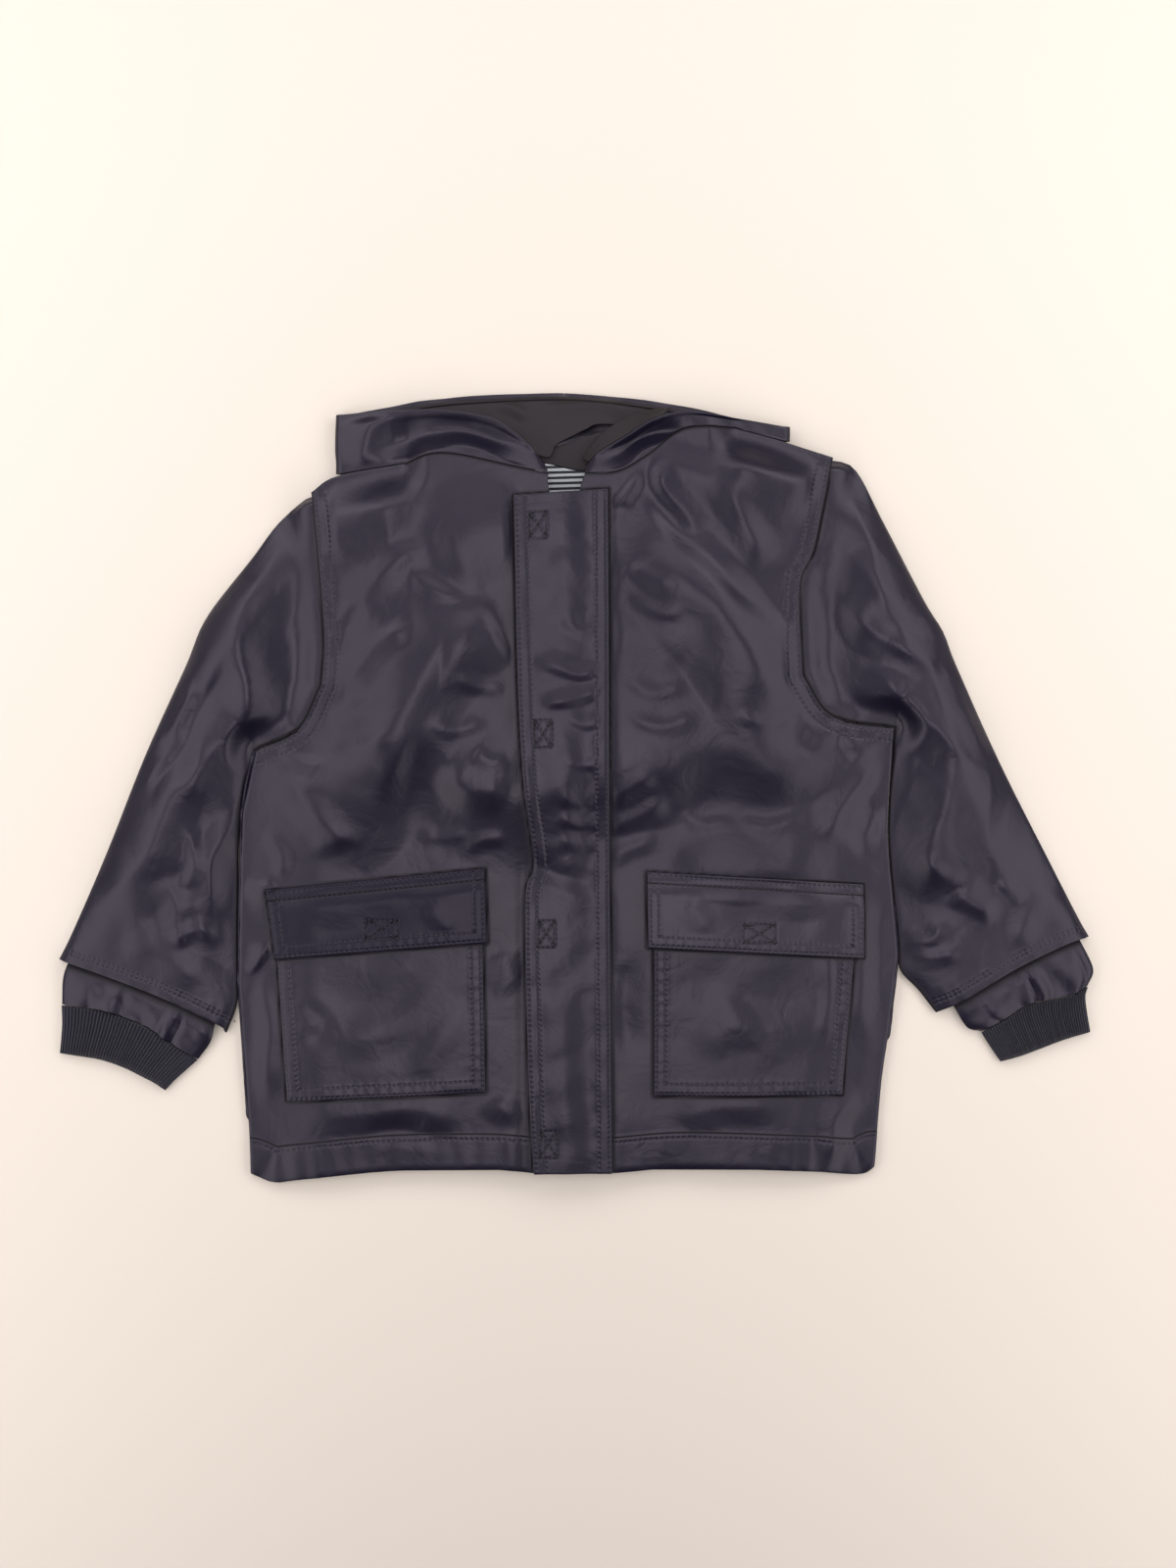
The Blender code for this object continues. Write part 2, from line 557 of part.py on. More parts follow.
for side in SIDES:
    out = SIGN[side]
    neck = along(NECK_TO_CENTRE[side], even(NECK_STEPS))[::-1]
    neck_height = front_height(side, neck[:, 0], neck[:, 1])
    corner = np.array(HOOD_CORNER_LOW[side], float)
    neck_point = np.append(neck[-1], neck_height[-1])
    to_corner = neck_point + (corner - neck_point) * even(3)[1:, None]
    lower_edge = np.vstack([np.column_stack([neck, neck_height]), to_corner])
    lower_edge[:, 1] += GAP + 0.1
    mouth = along(HOOD_MOUTH_FLAP[side], fractions_of(lower_edge[:, :2]))
    flap = between(mouth, lower_edge, HOOD_ROWS)
    down = even(HOOD_ROWS)[:, None]
    flap[..., 2] -= HOOD_DIP * np.sin(math.pi * down) * (1 - fractions_of(mouth) ** 3)
    flap_under = flap - np.array([0.0, 0.0, WALL])

    # The fold: half circles from the flap's outer edge down to the table.
    edge = flap[:, -1]
    turn = np.radians(FOLD_TURNS)
    radius = edge[:, 2:] / 2
    fold_out = np.repeat(edge[:, None], len(turn), axis=1)
    fold_in = fold_out.copy()
    for fold, reach in ((fold_out, radius), (fold_in, radius - WALL)):
        fold[..., 0] += out * reach * np.cos(turn)
        fold[..., 2] = radius + reach * np.sin(turn)

    # The lower layer: from the mouth's edge on the table to the crown's outline.
    rim = along(HOOD_MOUTH_TABLE[side], even(HOOD_COLUMNS))
    rim[0] = edge[0, :2]
    rim[-1, 0] = HOOD_SEAM_X + out * GAP / 2
    angle = math.pi / 2 * even(HOOD_COLUMNS)
    crown_x = out * CROWN_HALF_WIDTH * np.cos(angle)
    crown_edge = np.column_stack([crown_x, CROWN_TOP_Y - CROWN_DEPTH * np.sin(angle)])
    crown_edge[0] = edge[-1, :2]
    crown_edge[-1, 0] = rim[-1, 0]
    floor_plan = between(rim, crown_edge, HOOD_ROWS)
    floor_plan[:, 0] = edge[:, :2]
    x, y = floor_plan[..., 0], floor_plan[..., 1]
    hidden = smooth((CROWN_SWELL[0] - y) / (CROWN_SWELL[0] - CROWN_SWELL[1]))
    hidden = hidden * smooth((1.0 - crown_reach(x, y)) / CROWN_ROUND)
    floor_low = at_height(floor_plan, 0.0)
    floor_high = at_height(floor_plan, WALL + (CROWN_THICK - WALL) * hidden)
    outer_face = np.concatenate([flap, fold_out, floor_low], axis=1)
    inner_face = np.concatenate([flap_under, fold_in, floor_high], axis=1)
    cloth(f"hood_side_{side}", outer_face, inner_face)

# ---- Facing inside the hood's mouth: it lies on the lower layer and rises to a free edge.
FACING_TOP = [
    (-126, 218), (-85, 226.5), (-45, 229.5), (-7, 230.5), (30, 227.5), (65, 222), (95, 216), (112, 213)
]
FACING_FREE = [  # x, y, height
    (-118, 214, 1.9), (-80, 206, 3.0), (-44, 204, 8.0), (-17.5, 194, 10.2), (-12, 201, 10.6),
    (-4, 205.5, 10.6), (6, 210.5, 10.4), (15, 213.8, 8.8), (45, 212, 3.6), (80, 211, 2.2), (108, 210, 1.9),
]
FACING_ROWS, FACING_COLUMNS = 3, 16
FACING_BOW = 0.6  # under 1, it rises steeply from the rim and then levels out
free = along(FACING_FREE, even(FACING_COLUMNS))
plan = between(along(FACING_TOP, even(FACING_COLUMNS)), free[:, :2], FACING_ROWS)
on_hood = WALL + GAP
low = on_hood + (free[:, 2] - on_hood) * even(FACING_ROWS)[:, None] ** FACING_BOW
cloth("hood_facing", at_height(plan, low + THIN), at_height(plan, low), FACING)

# ---- The facing shows again where the left side of the mouth turns outwards.
EDGE_FACING_REACH = 0.42  # how far along the mouth's upper edge it shows
EDGE_FACING_FREE = [(3.5, 193, 12.5), (9, 201, 13), (20.5, 212, 13.5), (38, 220, 14), (56, 223.5, 14)]
EDGE_FACING_CLEAR = np.array([-0.4, 0.4, -0.4])
rim = along(HOOD_MOUTH_FLAP["left"], EDGE_FACING_REACH * even(8)) + EDGE_FACING_CLEAR
face = between(rim, along(EDGE_FACING_FREE, even(8)), 2)
cloth("hood_edge_facing", face, face - np.array([0.0, 0.0, THIN]), FACING)

# ---- Neck facing and the striped jersey lining, both on the back panel's inner face.
NECK_FACING_TOP = [(-24, 197), (-10, 201), (8, 207), (24, 211), (50, 213)]
NECK_FACING_LOW = [(-24, 190.5), (-16, 190.5), (2, 186.5), (20, 188), (50, 196)]
LINING_LOW_Y = 122.0
ON_BACK = WALL + SEAT
facing_hem = along(NECK_FACING_LOW, even(8))
plan = between(along(NECK_FACING_TOP, even(8)), facing_hem, 2)
low = back_lift(plan[..., 0], plan[..., 1]) + ON_BACK
cloth("neck_facing", at_height(plan, low + THIN), at_height(plan, low), FACING)

lining_top = facing_hem - np.array([0.0, GAP])
lining_low = np.column_stack([lining_top[:, 0], np.full(len(lining_top), LINING_LOW_Y)])
plan = between(lining_top, lining_low, 3)
low = back_lift(plan[..., 0], plan[..., 1]) + ON_BACK
cloth("neck_lining", at_height(plan, low + THIN), at_height(plan, low), STRIPE, 0.9)
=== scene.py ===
"""A child's hooded raincoat of dark coated cloth, laid on its back on a table.

Frame: +X to the wearer's left, +Y to the hood, +Z up, with the origin on the table under the
middle of the coat. Every size here is in millimetres, and a mesh is turned into metres when it
is made. "Right" and "left" are the wearer's.
"""

import math

import bmesh
import bpy
import numpy as np
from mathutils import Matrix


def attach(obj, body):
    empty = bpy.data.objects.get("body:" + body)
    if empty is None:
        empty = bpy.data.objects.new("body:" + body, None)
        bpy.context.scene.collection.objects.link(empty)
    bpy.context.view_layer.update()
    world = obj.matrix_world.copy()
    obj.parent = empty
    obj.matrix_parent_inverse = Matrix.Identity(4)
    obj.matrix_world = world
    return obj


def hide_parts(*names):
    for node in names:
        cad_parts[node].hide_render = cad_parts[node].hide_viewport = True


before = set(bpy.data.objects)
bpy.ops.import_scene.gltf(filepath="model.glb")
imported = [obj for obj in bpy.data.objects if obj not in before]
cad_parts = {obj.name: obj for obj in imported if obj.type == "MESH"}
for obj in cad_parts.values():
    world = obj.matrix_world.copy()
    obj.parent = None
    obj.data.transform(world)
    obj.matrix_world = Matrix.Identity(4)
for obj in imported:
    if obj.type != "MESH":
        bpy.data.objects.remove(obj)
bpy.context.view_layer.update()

MM = 0.001
SIDES = ("right", "left")
SIGN = {"right": -1.0, "left": 1.0}

# ================================================================ table, light and camera
# A plain pale table under a soft light overhead and three low ones, at the hood's end and at both
# sides, that draw the folds. The camera looks straight down at the coat.
TABLE_COLOUR = (0.690, 0.606, 0.538)
TABLE_ROUGH = 0.85
TABLE_SIZE = 6000.0
TABLE_DROP = 0.05  # keeps the table's top just clear of the coat
PICTURE_HIGH = 928.0  # how much of the table the picture takes in along Y
PICTURE_CENTRE = (7.25, 2.0)
CAMERA_HEIGHT = 1500.0
LIGHTS = {  # size, place, turn about x and y in degrees, power
    "overhead": ((620.0, 1000.0), (0.0, 0.0, 1450.0), (0.0, 0.0), 6.6),
    "hood_end": ((1200.0, 500.0), (0.0, 700.0, 560.0), (-45.0, 0.0), 4.2),
    "right_side": ((540.0, 1600.0), (-600.0, -40.0, 430.0), (0.0, -45.0), 6.0),
    "left_side": ((540.0, 1600.0), (600.0, -40.0, 430.0), (0.0, 45.0), 6.0),
}
ROOM_LIGHT = (0.05, 0.05, 0.054)


def put(tree, kind, inputs=(), **settings):
    """A new shader node. inputs maps its sockets to values or to other nodes' outputs."""
    made = tree.nodes.new("ShaderNode" + kind)
    for key, value in settings.items():
        setattr(made, key, value)
    for socket, value in dict(inputs).items():
        if isinstance(value, bpy.types.NodeSocket):
            tree.links.new(value, made.inputs[socket])
        else:
            made.inputs[socket].default_value = value
    return made


def maths(tree, operation, *values):
    """The output of a Math node on these values or outputs."""
    return put(tree, "Math", dict(enumerate(values)), operation=operation).outputs[0]


def finish(name, colour, roughness, inputs=()):
    """A material with one Principled shader: returns it, its node tree and the shader."""
    made = bpy.data.materials.new(name)
    made.use_nodes = True
    shader = made.node_tree.nodes["Principled BSDF"]
    shader.inputs["Base Color"].default_value = (*colour, 1.0)
    shader.inputs["Roughness"].default_value = roughness
    for socket, value in dict(inputs).items():
        shader.inputs[socket].default_value = value
    return made, made.node_tree, shader


def emboss(tree, shader, height, distance):
    """Feeds a height, up to this distance in metres, to the shader's normal."""
    bump = put(tree, "Bump", {"Height": height, "Distance": distance})
    tree.links.new(bump.outputs[0], shader.inputs["Normal"])


def two_colours(tree, shader, mask, first, second):
    """Mixes the shader's base colour: the first where the mask is 0, the second where it is 1."""
    mix = put(tree, "Mix", {0: mask, 6: first, 7: second}, data_type="RGBA")
    tree.links.new(mix.outputs[2], shader.inputs["Base Color"])


def add(name, data):
    """A new object in the scene, at the origin."""
    made = bpy.data.objects.new(name, data)
    bpy.context.scene.collection.objects.link(made)
    return made


def mesh_object(name, points, faces, material):
    """A smooth mesh object from points in millimetres."""
    mesh = bpy.data.meshes.new(name)
    mesh.from_pydata((np.reshape(points, (-1, 3)) * MM).tolist(), [], faces)
    mesh.shade_smooth()
    mesh.materials.append(material)
    return add(name, mesh)


camera_data = bpy.data.cameras.new("camera")
camera_data.sensor_fit = "VERTICAL"
camera_data.lens = camera_data.sensor_height * CAMERA_HEIGHT / PICTURE_HIGH
camera = add("camera", camera_data)
camera.location = (PICTURE_CENTRE[0] * MM, PICTURE_CENTRE[1] * MM, CAMERA_HEIGHT * MM)
bpy.context.scene.camera = camera
bpy.context.scene.view_settings.view_transform = "Standard"

for name, (size, place, turn, power) in LIGHTS.items():
    light_data = bpy.data.lights.new(name, "AREA")
    light_data.shape = "RECTANGLE"
    light_data.size, light_data.size_y = size[0] * MM, size[1] * MM
    light_data.energy = power
    light = add(name, light_data)
    light.location = [value * MM for value in place]
    light.rotation_euler = (math.radians(turn[0]), math.radians(turn[1]), 0.0)

world = bpy.data.worlds.new("room")
world.use_nodes = True
world.node_tree.nodes["Background"].inputs["Color"].default_value = (*ROOM_LIGHT, 1.0)
bpy.context.scene.world = world

half = TABLE_SIZE / 2
table = mesh_object(
    "table",
    [(-half, -half, 0), (half, -half, 0), (half, half, 0), (-half, half, 0)],
    [(0, 1, 2, 3)],
    finish("table_paint", TABLE_COLOUR, TABLE_ROUGH)[0],
)
table.location.z = -TABLE_DROP * MM

# ================================================================ coated cloth
# Woven cloth with a thin dark coating: a soft satin gloss, a fine grain, and slack little
# crumples. Rows of stitching draw it in, so each row lies in a shallow groove.
COATING = (0.0052, 0.0043, 0.0125)
COATING_ROUGH = 0.365
ROUGH_SPREAD = (-0.03, 0.04)  # how its patches differ from that
COATING_GLOSS = 0.41
COATING_GLOSS_TINT = (1.04, 0.915, 1.02, 1.0)
PEBBLE_SCALE, SLACK_SCALE, PATCH_SCALE = 900.0, 55.0, 14.0  # a metre
SLACK_SHARE = 25.0  # the slack unevenness's height against that of the pebbles
GRAIN_BUMP, GRAIN_STRENGTH = 0.00006, 0.35
STITCH_PITCH = 3.0
GROOVE_WIDTH = 0.9
GROOVE_DEPTH, GROOVE_BEAT = 0.75, 0.35  # its mean, and how far each stitch adds to it
GROOVE_BUMP = 0.00026
# Painted shade in seams and under edges: its colour, the roughness it adds, and its width.
PAINTED_SHADE_COLOUR = (0.0012, 0.0010, 0.0016, 1.0)
PAINTED_SHADE_ROUGH = 0.6  # added to the coating's
PAINTED_SHADE_WIDTH = 0.8


def group(name, inputs, outputs):
    """A shader node group with these inputs, name to default, and outputs."""
    made = bpy.data.node_groups.new(name, "ShaderNodeTree")
    for socket, default in inputs.items():
        kind = "NodeSocketVector" if default is None else "NodeSocketFloat"
        new = made.interface.new_socket(socket, in_out="INPUT", socket_type=kind)
        if default is not None:
            new.default_value = default
    for socket in outputs:
        made.interface.new_socket(socket, in_out="OUTPUT", socket_type="NodeSocketFloat")
    return made, made.nodes.new("NodeGroupInput").outputs, made.nodes.new("NodeGroupOutput").inputs


def use(tree, made, inputs):
    """Places a node group in a material and returns its outputs."""
    return put(tree, "Group", inputs, node_tree=made).outputs


def bell(tree, across, row, width):
    """1 on the line at this row, and less away from it: exp(-((across - row) / width)^2)."""
    off = maths(tree, "DIVIDE", maths(tree, "SUBTRACT", across, row), width)
    return maths(tree, "EXPONENT", maths(tree, "MULTIPLY", maths(tree, "POWER", off, 2.0), -1.0))


def marked(tree, attribute):
    """What a mesh's attribute holds: the distance from a line, and the place along it."""
    read = put(tree, "Attribute", attribute_name=attribute)
    return put(tree, "SeparateXYZ", {0: read.outputs["Vector"]}).outputs


# Grain: pebbles about a millimetre apart, over a slack unevenness tens of millimetres long.
grain, given, made = group(
    "cloth_grain", {"Place": None, "Fine": PEBBLE_SCALE, "Slack": SLACK_SCALE}, ("Height", "Patches")
)
place = given["Place"]
fine = put(grain, "TexNoise", {"Vector": place, "Scale": given["Fine"], "Detail": 2.0})
slack = put(
    grain, "TexNoise", {"Vector": place, "Scale": given["Slack"], "Detail": 3.0, "Distortion": 0.6}
)
patches = put(grain, "TexNoise", {"Vector": place, "Scale": PATCH_SCALE, "Detail": 4.0})
weighed = maths(grain, "MULTIPLY_ADD", slack.outputs[0], SLACK_SHARE, fine.outputs[0])
grain.links.new(weighed, made["Height"])
grain.links.new(patches.outputs[0], made["Patches"])

# A stitch row's groove is deepest where the needle went through.
groove, given, made = group("stitch_groove", {"Across": 0.0, "Along": 0.0, "Row": 2.0}, ("Height",))
beat = maths(groove, "COSINE", maths(groove, "MULTIPLY", given["Along"], 2 * math.pi / STITCH_PITCH))
deep = maths(groove, "MULTIPLY", maths(groove, "MULTIPLY_ADD", beat, GROOVE_BEAT, GROOVE_DEPTH), -1.0)
line = bell(groove, given["Across"], given["Row"], GROOVE_WIDTH)
groove.links.new(maths(groove, "MULTIPLY", line, deep), made["Height"])

# Painted shade: along a seam's crevice and under an edge, where shade falls, the coating's colour is
# darkened and its roughness raised.
painted_shade_group, given, made = group(
    "seam_painted_shade", {"Across": 0.0, "Row": 0.0, "Width": PAINTED_SHADE_WIDTH}, ("Mask",)
)
painted_shade_group.links.new(bell(painted_shade_group, given["Across"], given["Row"], given["Width"]), made["Mask"])


def coated_cloth(name, rows=(), creases=(), colour=COATING, rough=COATING_ROUGH, gloss=COATING_GLOSS):
    """Coated cloth with a groove for each (attribute, distance) row of stitching.

    creases holds (attribute, distance, width) for lines of painted shade along seams and under edges.
    """
    made, tree, shader = finish(
        name, colour, rough, {"Specular IOR Level": gloss, "Specular Tint": COATING_GLOSS_TINT}
    )
    weave = use(tree, grain, {"Place": put(tree, "TexCoord").outputs["Object"]})
    low, high = (rough + step for step in ROUGH_SPREAD)
    spread = put(tree, "MapRange", {0: weave["Patches"], 1: 0.3, 2: 0.7, 3: low, 4: high}).outputs[0]
    dark = 0.0
    for attribute, row, width in creases:
        across = marked(tree, attribute)[0]
        line = use(tree, painted_shade_group, {"Across": across, "Row": row, "Width": width})
        dark = maths(tree, "MAXIMUM", line["Mask"], dark)
    # Painted shade: along these lines the colour is darkened and the roughness raised.
    if creases:
        spread = maths(tree, "MULTIPLY_ADD", dark, PAINTED_SHADE_ROUGH, spread)
        two_colours(tree, shader, dark, (*colour, 1.0), PAINTED_SHADE_COLOUR)
    tree.links.new(spread, shader.inputs["Roughness"])
    bump = put(
        tree, "Bump", {"Height": weave["Height"], "Distance": GRAIN_BUMP, "Strength": GRAIN_STRENGTH}
    )
    for attribute, row in rows:
        parts = marked(tree, attribute)
        line = use(tree, groove, {"Across": parts[0], "Along": parts[1], "Row": row})
        bump = put(
            tree, "Bump",
            {"Height": line["Height"], "Distance": GROOVE_BUMP, "Normal": bump.outputs[0]},
        )
    tree.links.new(bump.outputs[0], shader.inputs["Normal"])
    return made


# ================================================================ back
# The back is one panel from hem to neck. It lies on the table, and is lifted over the hood's
# crown, which is folded away under it.
WALL = 1.4
BACK_WALL = 1.2
EDGE_ROUNDING = 0.4  # how much of a wall its rounded edges take
SHARP = 55.0  # degrees, past which an edge is rounded
HEM_TO_ARMPIT = {
    "right": [(-192, -228), (-193, -201), (-199, -114), (-197, -15), (-189, 22)],
    "left": [(176.5, -224), (180.5, -174), (185.5, -139), (190, -97), (184, -27), (188, 35.5)],
}
ARMPIT_TO_UNDERARM = {
    "right": [(-189, 22), (-164, 34), (-149.5, 60)],
    "left": [(188, 35.5), (164, 38), (146.5, 45.5), (133.5, 66)],
}
UNDERARM_TO_SHOULDER = {
    "right": [(-149.5, 60), (-148, 89), (-152, 141), (-155, 173)],
    "left": [(133.5, 66), (132, 118), (140.5, 141), (151, 193.5)],
}
SHOULDER_TO_NECK = {
    "right": [(-155, 173), (-140, 182.5), (-99.5, 190)],
    "left": [(151, 193.5), (118, 204), (91.5, 211)],
}
BACK_NECKLINE = [(-99.5, 190), (-55, 198), (0, 206), (50, 209), (91.5, 211)]
BACK_HEM = [(-192, -228), (-150, -227), (0, -226), (150, -226), (176.5, -224)]
CROWN_THICK = 5.0
CROWN_TOP_Y = 185.0
CROWN_HALF_WIDTH = 126.0
CROWN_DEPTH = 138.0
BACK_OVER_CROWN = CROWN_THICK + 1.1
TENT_START, TENT_SLOPE = 1.14, 0.2
BACK_WAVES = (0.5, 46.0, 3)  # height, wavelength, seed: so for every set of waves
BACK_LIFT = 0.25
BACK_EDGE_STEPS = 80
BETWEEN_POINTS = 24  # steps that a curve takes from one given point to the next
FAR = 1e3


def smooth(value):
    """0 to 1 with level ends: 3t^2 - 2t^3."""
    t = np.clip(value, 0.0, 1.0)
    return t * t * (3.0 - 2.0 * t)


def even(steps):
    """0 to 1 in this many even steps."""
    return np.linspace(0.0, 1.0, steps + 1)


def run_length(line):
    """How far along a line of points each of them is."""
    return np.concatenate([[0.0], np.cumsum(np.linalg.norm(np.diff(line, axis=0), axis=1))])


def column(table, place, number):
    """This column of a table at places in its first one, going straight from row to row."""
    return np.interp(place, table[:, 0], table[:, number])


def along(points, fractions):
    """Points at these fractions of the length of a Catmull-Rom curve through the given ones."""
    given = np.array(points, float)
    padded = np.vstack([2 * given[0] - given[1], given, 2 * given[-1] - given[-2]])
    step = even(BETWEEN_POINTS)[:-1, None]
    fine = []
    for a, b, c, d in zip(padded, padded[1:], padded[2:], padded[3:]):
        fine.append(0.5 * (2 * b + (c - a) * step + (2 * a - 5 * b + 4 * c - d) * step**2
                           + (3 * b - 3 * c + d - a) * step**3))
    fine = np.vstack(fine + [given[-1:]])
    length = run_length(fine)
    places = np.asarray(fractions) * length[-1]
    return np.stack([np.interp(places, length, values) for values in fine.T], axis=1)


def through(corners, steps):
    """Points along straight runs from corner to corner, this many steps to a run."""
    runs = [a + (b - a) * even(steps)[:-1, None] for a, b in zip(corners, corners[1:])]
    return np.vstack(runs + [corners[-1:]])


def joined(*runs):
    """Runs of points, each of which starts where the one before it ends."""
    return np.vstack([runs[0]] + [run[1:] for run in runs[1:]])


def fractions_of(line):
    """How far along the line each of its points is, from 0 to 1."""
    length = run_length(line)
    return length / length[-1]


def patch(start, end, low, high):
    """A Coons patch: rows run from start to end, columns from low to high.

    P(u, v) = (1-u) start + u end + (1-v) low + v high - the four corners' bilinear mix.
    """
    u = ((fractions_of(low) + fractions_of(high)) / 2)[None, :, None]
    v = ((fractions_of(start) + fractions_of(end)) / 2)[:, None, None]
    sides = (1 - u) * start[:, None] + u * end[:, None]
    ends = (1 - v) * low[None] + v * high[None]
    corners = ((1 - u) * (1 - v) * low[0] + u * (1 - v) * low[-1]
               + (1 - u) * v * high[0] + u * v * high[-1])
    return sides + ends - corners


def at_height(plan, height):
    """The plan's points, with this height."""
    return np.dstack([plan, np.broadcast_to(height, plan.shape[:2])])


def past(distance, start, ramp):
    """0 up to this start, then rising smoothly to 1 over the ramp."""
    return smooth((distance - start) / ramp)


def within(distance, reach, ramp):
    """0 from this reach on, rising smoothly to 1 over the ramp inside it."""
    return smooth((reach - distance) / ramp)


def waves(x, y, height, wavelength, seed):
    """Smooth uneven waves of about this height: eight cosines, each in its own direction."""
    draw = np.random.default_rng(seed)
    total = np.zeros_like(x, dtype=float)
    cosines = (draw.uniform(0, math.pi, 8), draw.uniform(0, 6.28, 8), draw.uniform(0.7, 1.5, 8))
    for turn, phase, stretch in zip(*cosines):
        way = (x * math.cos(turn) + y * math.sin(turn)) * 2 * math.pi * stretch / wavelength
        total += np.cos(way + phase)
    return height * total / 3.0


def from_line(line, x, y):
    """Signed distance to a run of points, positive on its left, and how far along it that is."""
    line = np.asarray(line, float)
    run = np.diff(line, axis=0)
    long = np.linalg.norm(run, axis=1)
    right, up = x[..., None] - line[:-1, 0], y[..., None] - line[:-1, 1]
    t = np.clip((right * run[:, 0] + up * run[:, 1]) / long**2, 0.0, 1.0)
    away = np.hypot(right - t * run[:, 0], up - t * run[:, 1])
    away = np.copysign(away, run[:, 0] * up - run[:, 1] * right)
    place = run_length(line)[:-1] + t * long
    best = np.abs(away).argmin(axis=-1)[..., None]
    return [np.take_along_axis(values, best, -1)[..., 0] for values in (away, place)]


def near(line, x, y):
    """Distance to a line, and how far along it."""
    away, place = from_line(line, x, y)
    return np.abs(away), place


def grid_faces(number):
    """The four-cornered faces of a grid of point numbers."""
    corners = (number[:-1, :-1], number[:-1, 1:], number[1:, 1:], number[1:, :-1])
    return np.stack(corners, axis=-1).reshape(-1, 4)


def surface(name, points, material, tube=False, seams=()):
    """A mesh over a grid of points. A tube has its last column joined to the first.

    The faces are turned so that a sheet faces up and a tube outwards. seams holds (attribute,
    distance, place along) for the lines that the material marks.
    """
    number = np.arange(points[..., 0].size).reshape(points.shape[:2])
    if tube:
        number = np.column_stack([number, number[:, 0]])
    faces = grid_faces(number)
    flat = points.reshape(-1, 3)
    corner = flat[faces]
    normal = np.cross(corner[:, 2] - corner[:, 0], corner[:, 3] - corner[:, 1])[:, 2]
    weight = corner[..., 2].mean(axis=1) - flat[:, 2].mean() if tube else 1.0
    if (normal * weight).sum() < 0:
        faces = faces[:, ::-1]
    made = mesh_object(name, flat, faces.tolist(), material)
    for attribute, distance, place in seams:
        values = np.dstack([distance, place, np.zeros_like(place)]).astype(np.float32)
        layer = made.data.attributes.new(attribute, "FLOAT_VECTOR", "POINT")
        layer.data.foreach_set("vector", values.reshape(-1))
    return made


def no_outline(x):
    """An empty outline mark for a surface, which lies_on then fills."""
    return "outline", np.full(x.shape, FAR), x


def lies_on(under, line):
    """Marks the line where a piece's edge lies on the one under it, for painted shade on its cloth there.
    """
    mesh = bpy.data.objects[under].data
    places = np.empty(3 * len(mesh.vertices), np.float32)
    mesh.vertices.foreach_get("co", places)
    places = places.reshape(-1, 3) / MM
    layer = mesh.attributes["outline"].data
    marks = np.empty(3 * len(places), np.float32)
    layer.foreach_get("vector", marks)
    marks = marks.reshape(-1, 3)
    marks[:, 0] = np.minimum(marks[:, 0], near(line, places[:, 0], places[:, 1])[0])
    layer.foreach_set("vector", marks.reshape(-1))


def round_edges(piece, width):
    """Rounds off a piece's sharp edges."""
    edge = piece.modifiers.new("edge", "BEVEL")
    edge.width = width * MM
    edge.segments = 2
    edge.limit_method = "ANGLE"
    edge.angle_limit = math.radians(SHARP)


def thicken(piece, wall):
    """Gives a surface its wall, on its inner side, with rounded edges."""
    skin = piece.modifiers.new("wall", "SOLIDIFY")
    skin.thickness = wall * MM
    skin.offset = -1.0
    round_edges(piece, EDGE_ROUNDING * wall)


def wear(piece, slot, *nodes):
    """Puts a piece on the coat's one body, in place of these plain solids."""
    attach(piece, "root")
    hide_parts(*nodes)


def body_edge(side, steps):
    """The body's edge from the hem past the armpit to the shoulder tip."""
    return joined(
        along(HEM_TO_ARMPIT[side], even(steps)),
        along(ARMPIT_TO_UNDERARM[side], even(steps // 5)),
        along(UNDERARM_TO_SHOULDER[side], even(steps // 2)),
    )


def crown_reach(x, y):
    """1 on the folded crown's outline, less inside it: an ellipse below its top line."""
    drop = np.clip(CROWN_TOP_Y - y, 0.0, None) / CROWN_DEPTH
    return np.hypot(x / CROWN_HALF_WIDTH, drop)


def back_lift(x, y):
    """How far the back is lifted off the table."""
    return BACK_OVER_CROWN * smooth((TENT_START - crown_reach(x, y)) / TENT_SLOPE)


cloth = coated_cloth("coated_cloth")
back_top = joined(
    along(SHOULDER_TO_NECK["right"], even(24)),
    along(BACK_NECKLINE, even(60)),
    along(SHOULDER_TO_NECK["left"], even(24))[::-1],
)
plan = patch(
    body_edge("right", BACK_EDGE_STEPS),
    body_edge("left", BACK_EDGE_STEPS),
    along(BACK_HEM, fractions_of(back_top)),
    back_top,
)
x, y = plan[..., 0], plan[..., 1]
lift = back_lift(x, y)
slack = waves(x, y, *BACK_WAVES) * smooth(lift / 3.0) + BACK_LIFT
back = surface("back", at_height(plan, WALL + lift + slack), cloth)
thicken(back, BACK_WALL)
wear(back, "coated_cloth", "back_panel")

# ================================================================ fronts
# Two panels that lie on the back, meet under the storm flap and part at the neck. The chest is
# puffed up by the hood and the sleeve heads, and drops to the flatter skirt in soft buckles.
NECK_TO_CENTRE = {
    "right": [(-99.5, 190), (-85.5, 194.5), (-69, 194.5), (-36.5, 187.5), (-16, 183.5)],
    "left": [(91.5, 211), (63, 209), (42.5, 194.5), (24.5, 184.5), (5.5, 183.5)],
}
CENTRE_EDGE = {
    "right": [(-6, -227), (-6, 60), (-7.5, 141), (-15.5, 174), (-16, 183.5)],
    "left": [(-5, -227), (-5, 60), (-4.5, 141), (2.5, 174), (5.5, 183.5)],
}
HEM_LINE = {
    "right": [
        (-192, -228), (-178, -233), (-160, -231), (-109, -226), (-51, -225), (-24, -227), (-6, -227)
    ],
    "left": [
        (176.5, -224), (170, -228), (158, -228), (135, -226), (65, -224), (22, -227), (-5, -227)
    ],
}
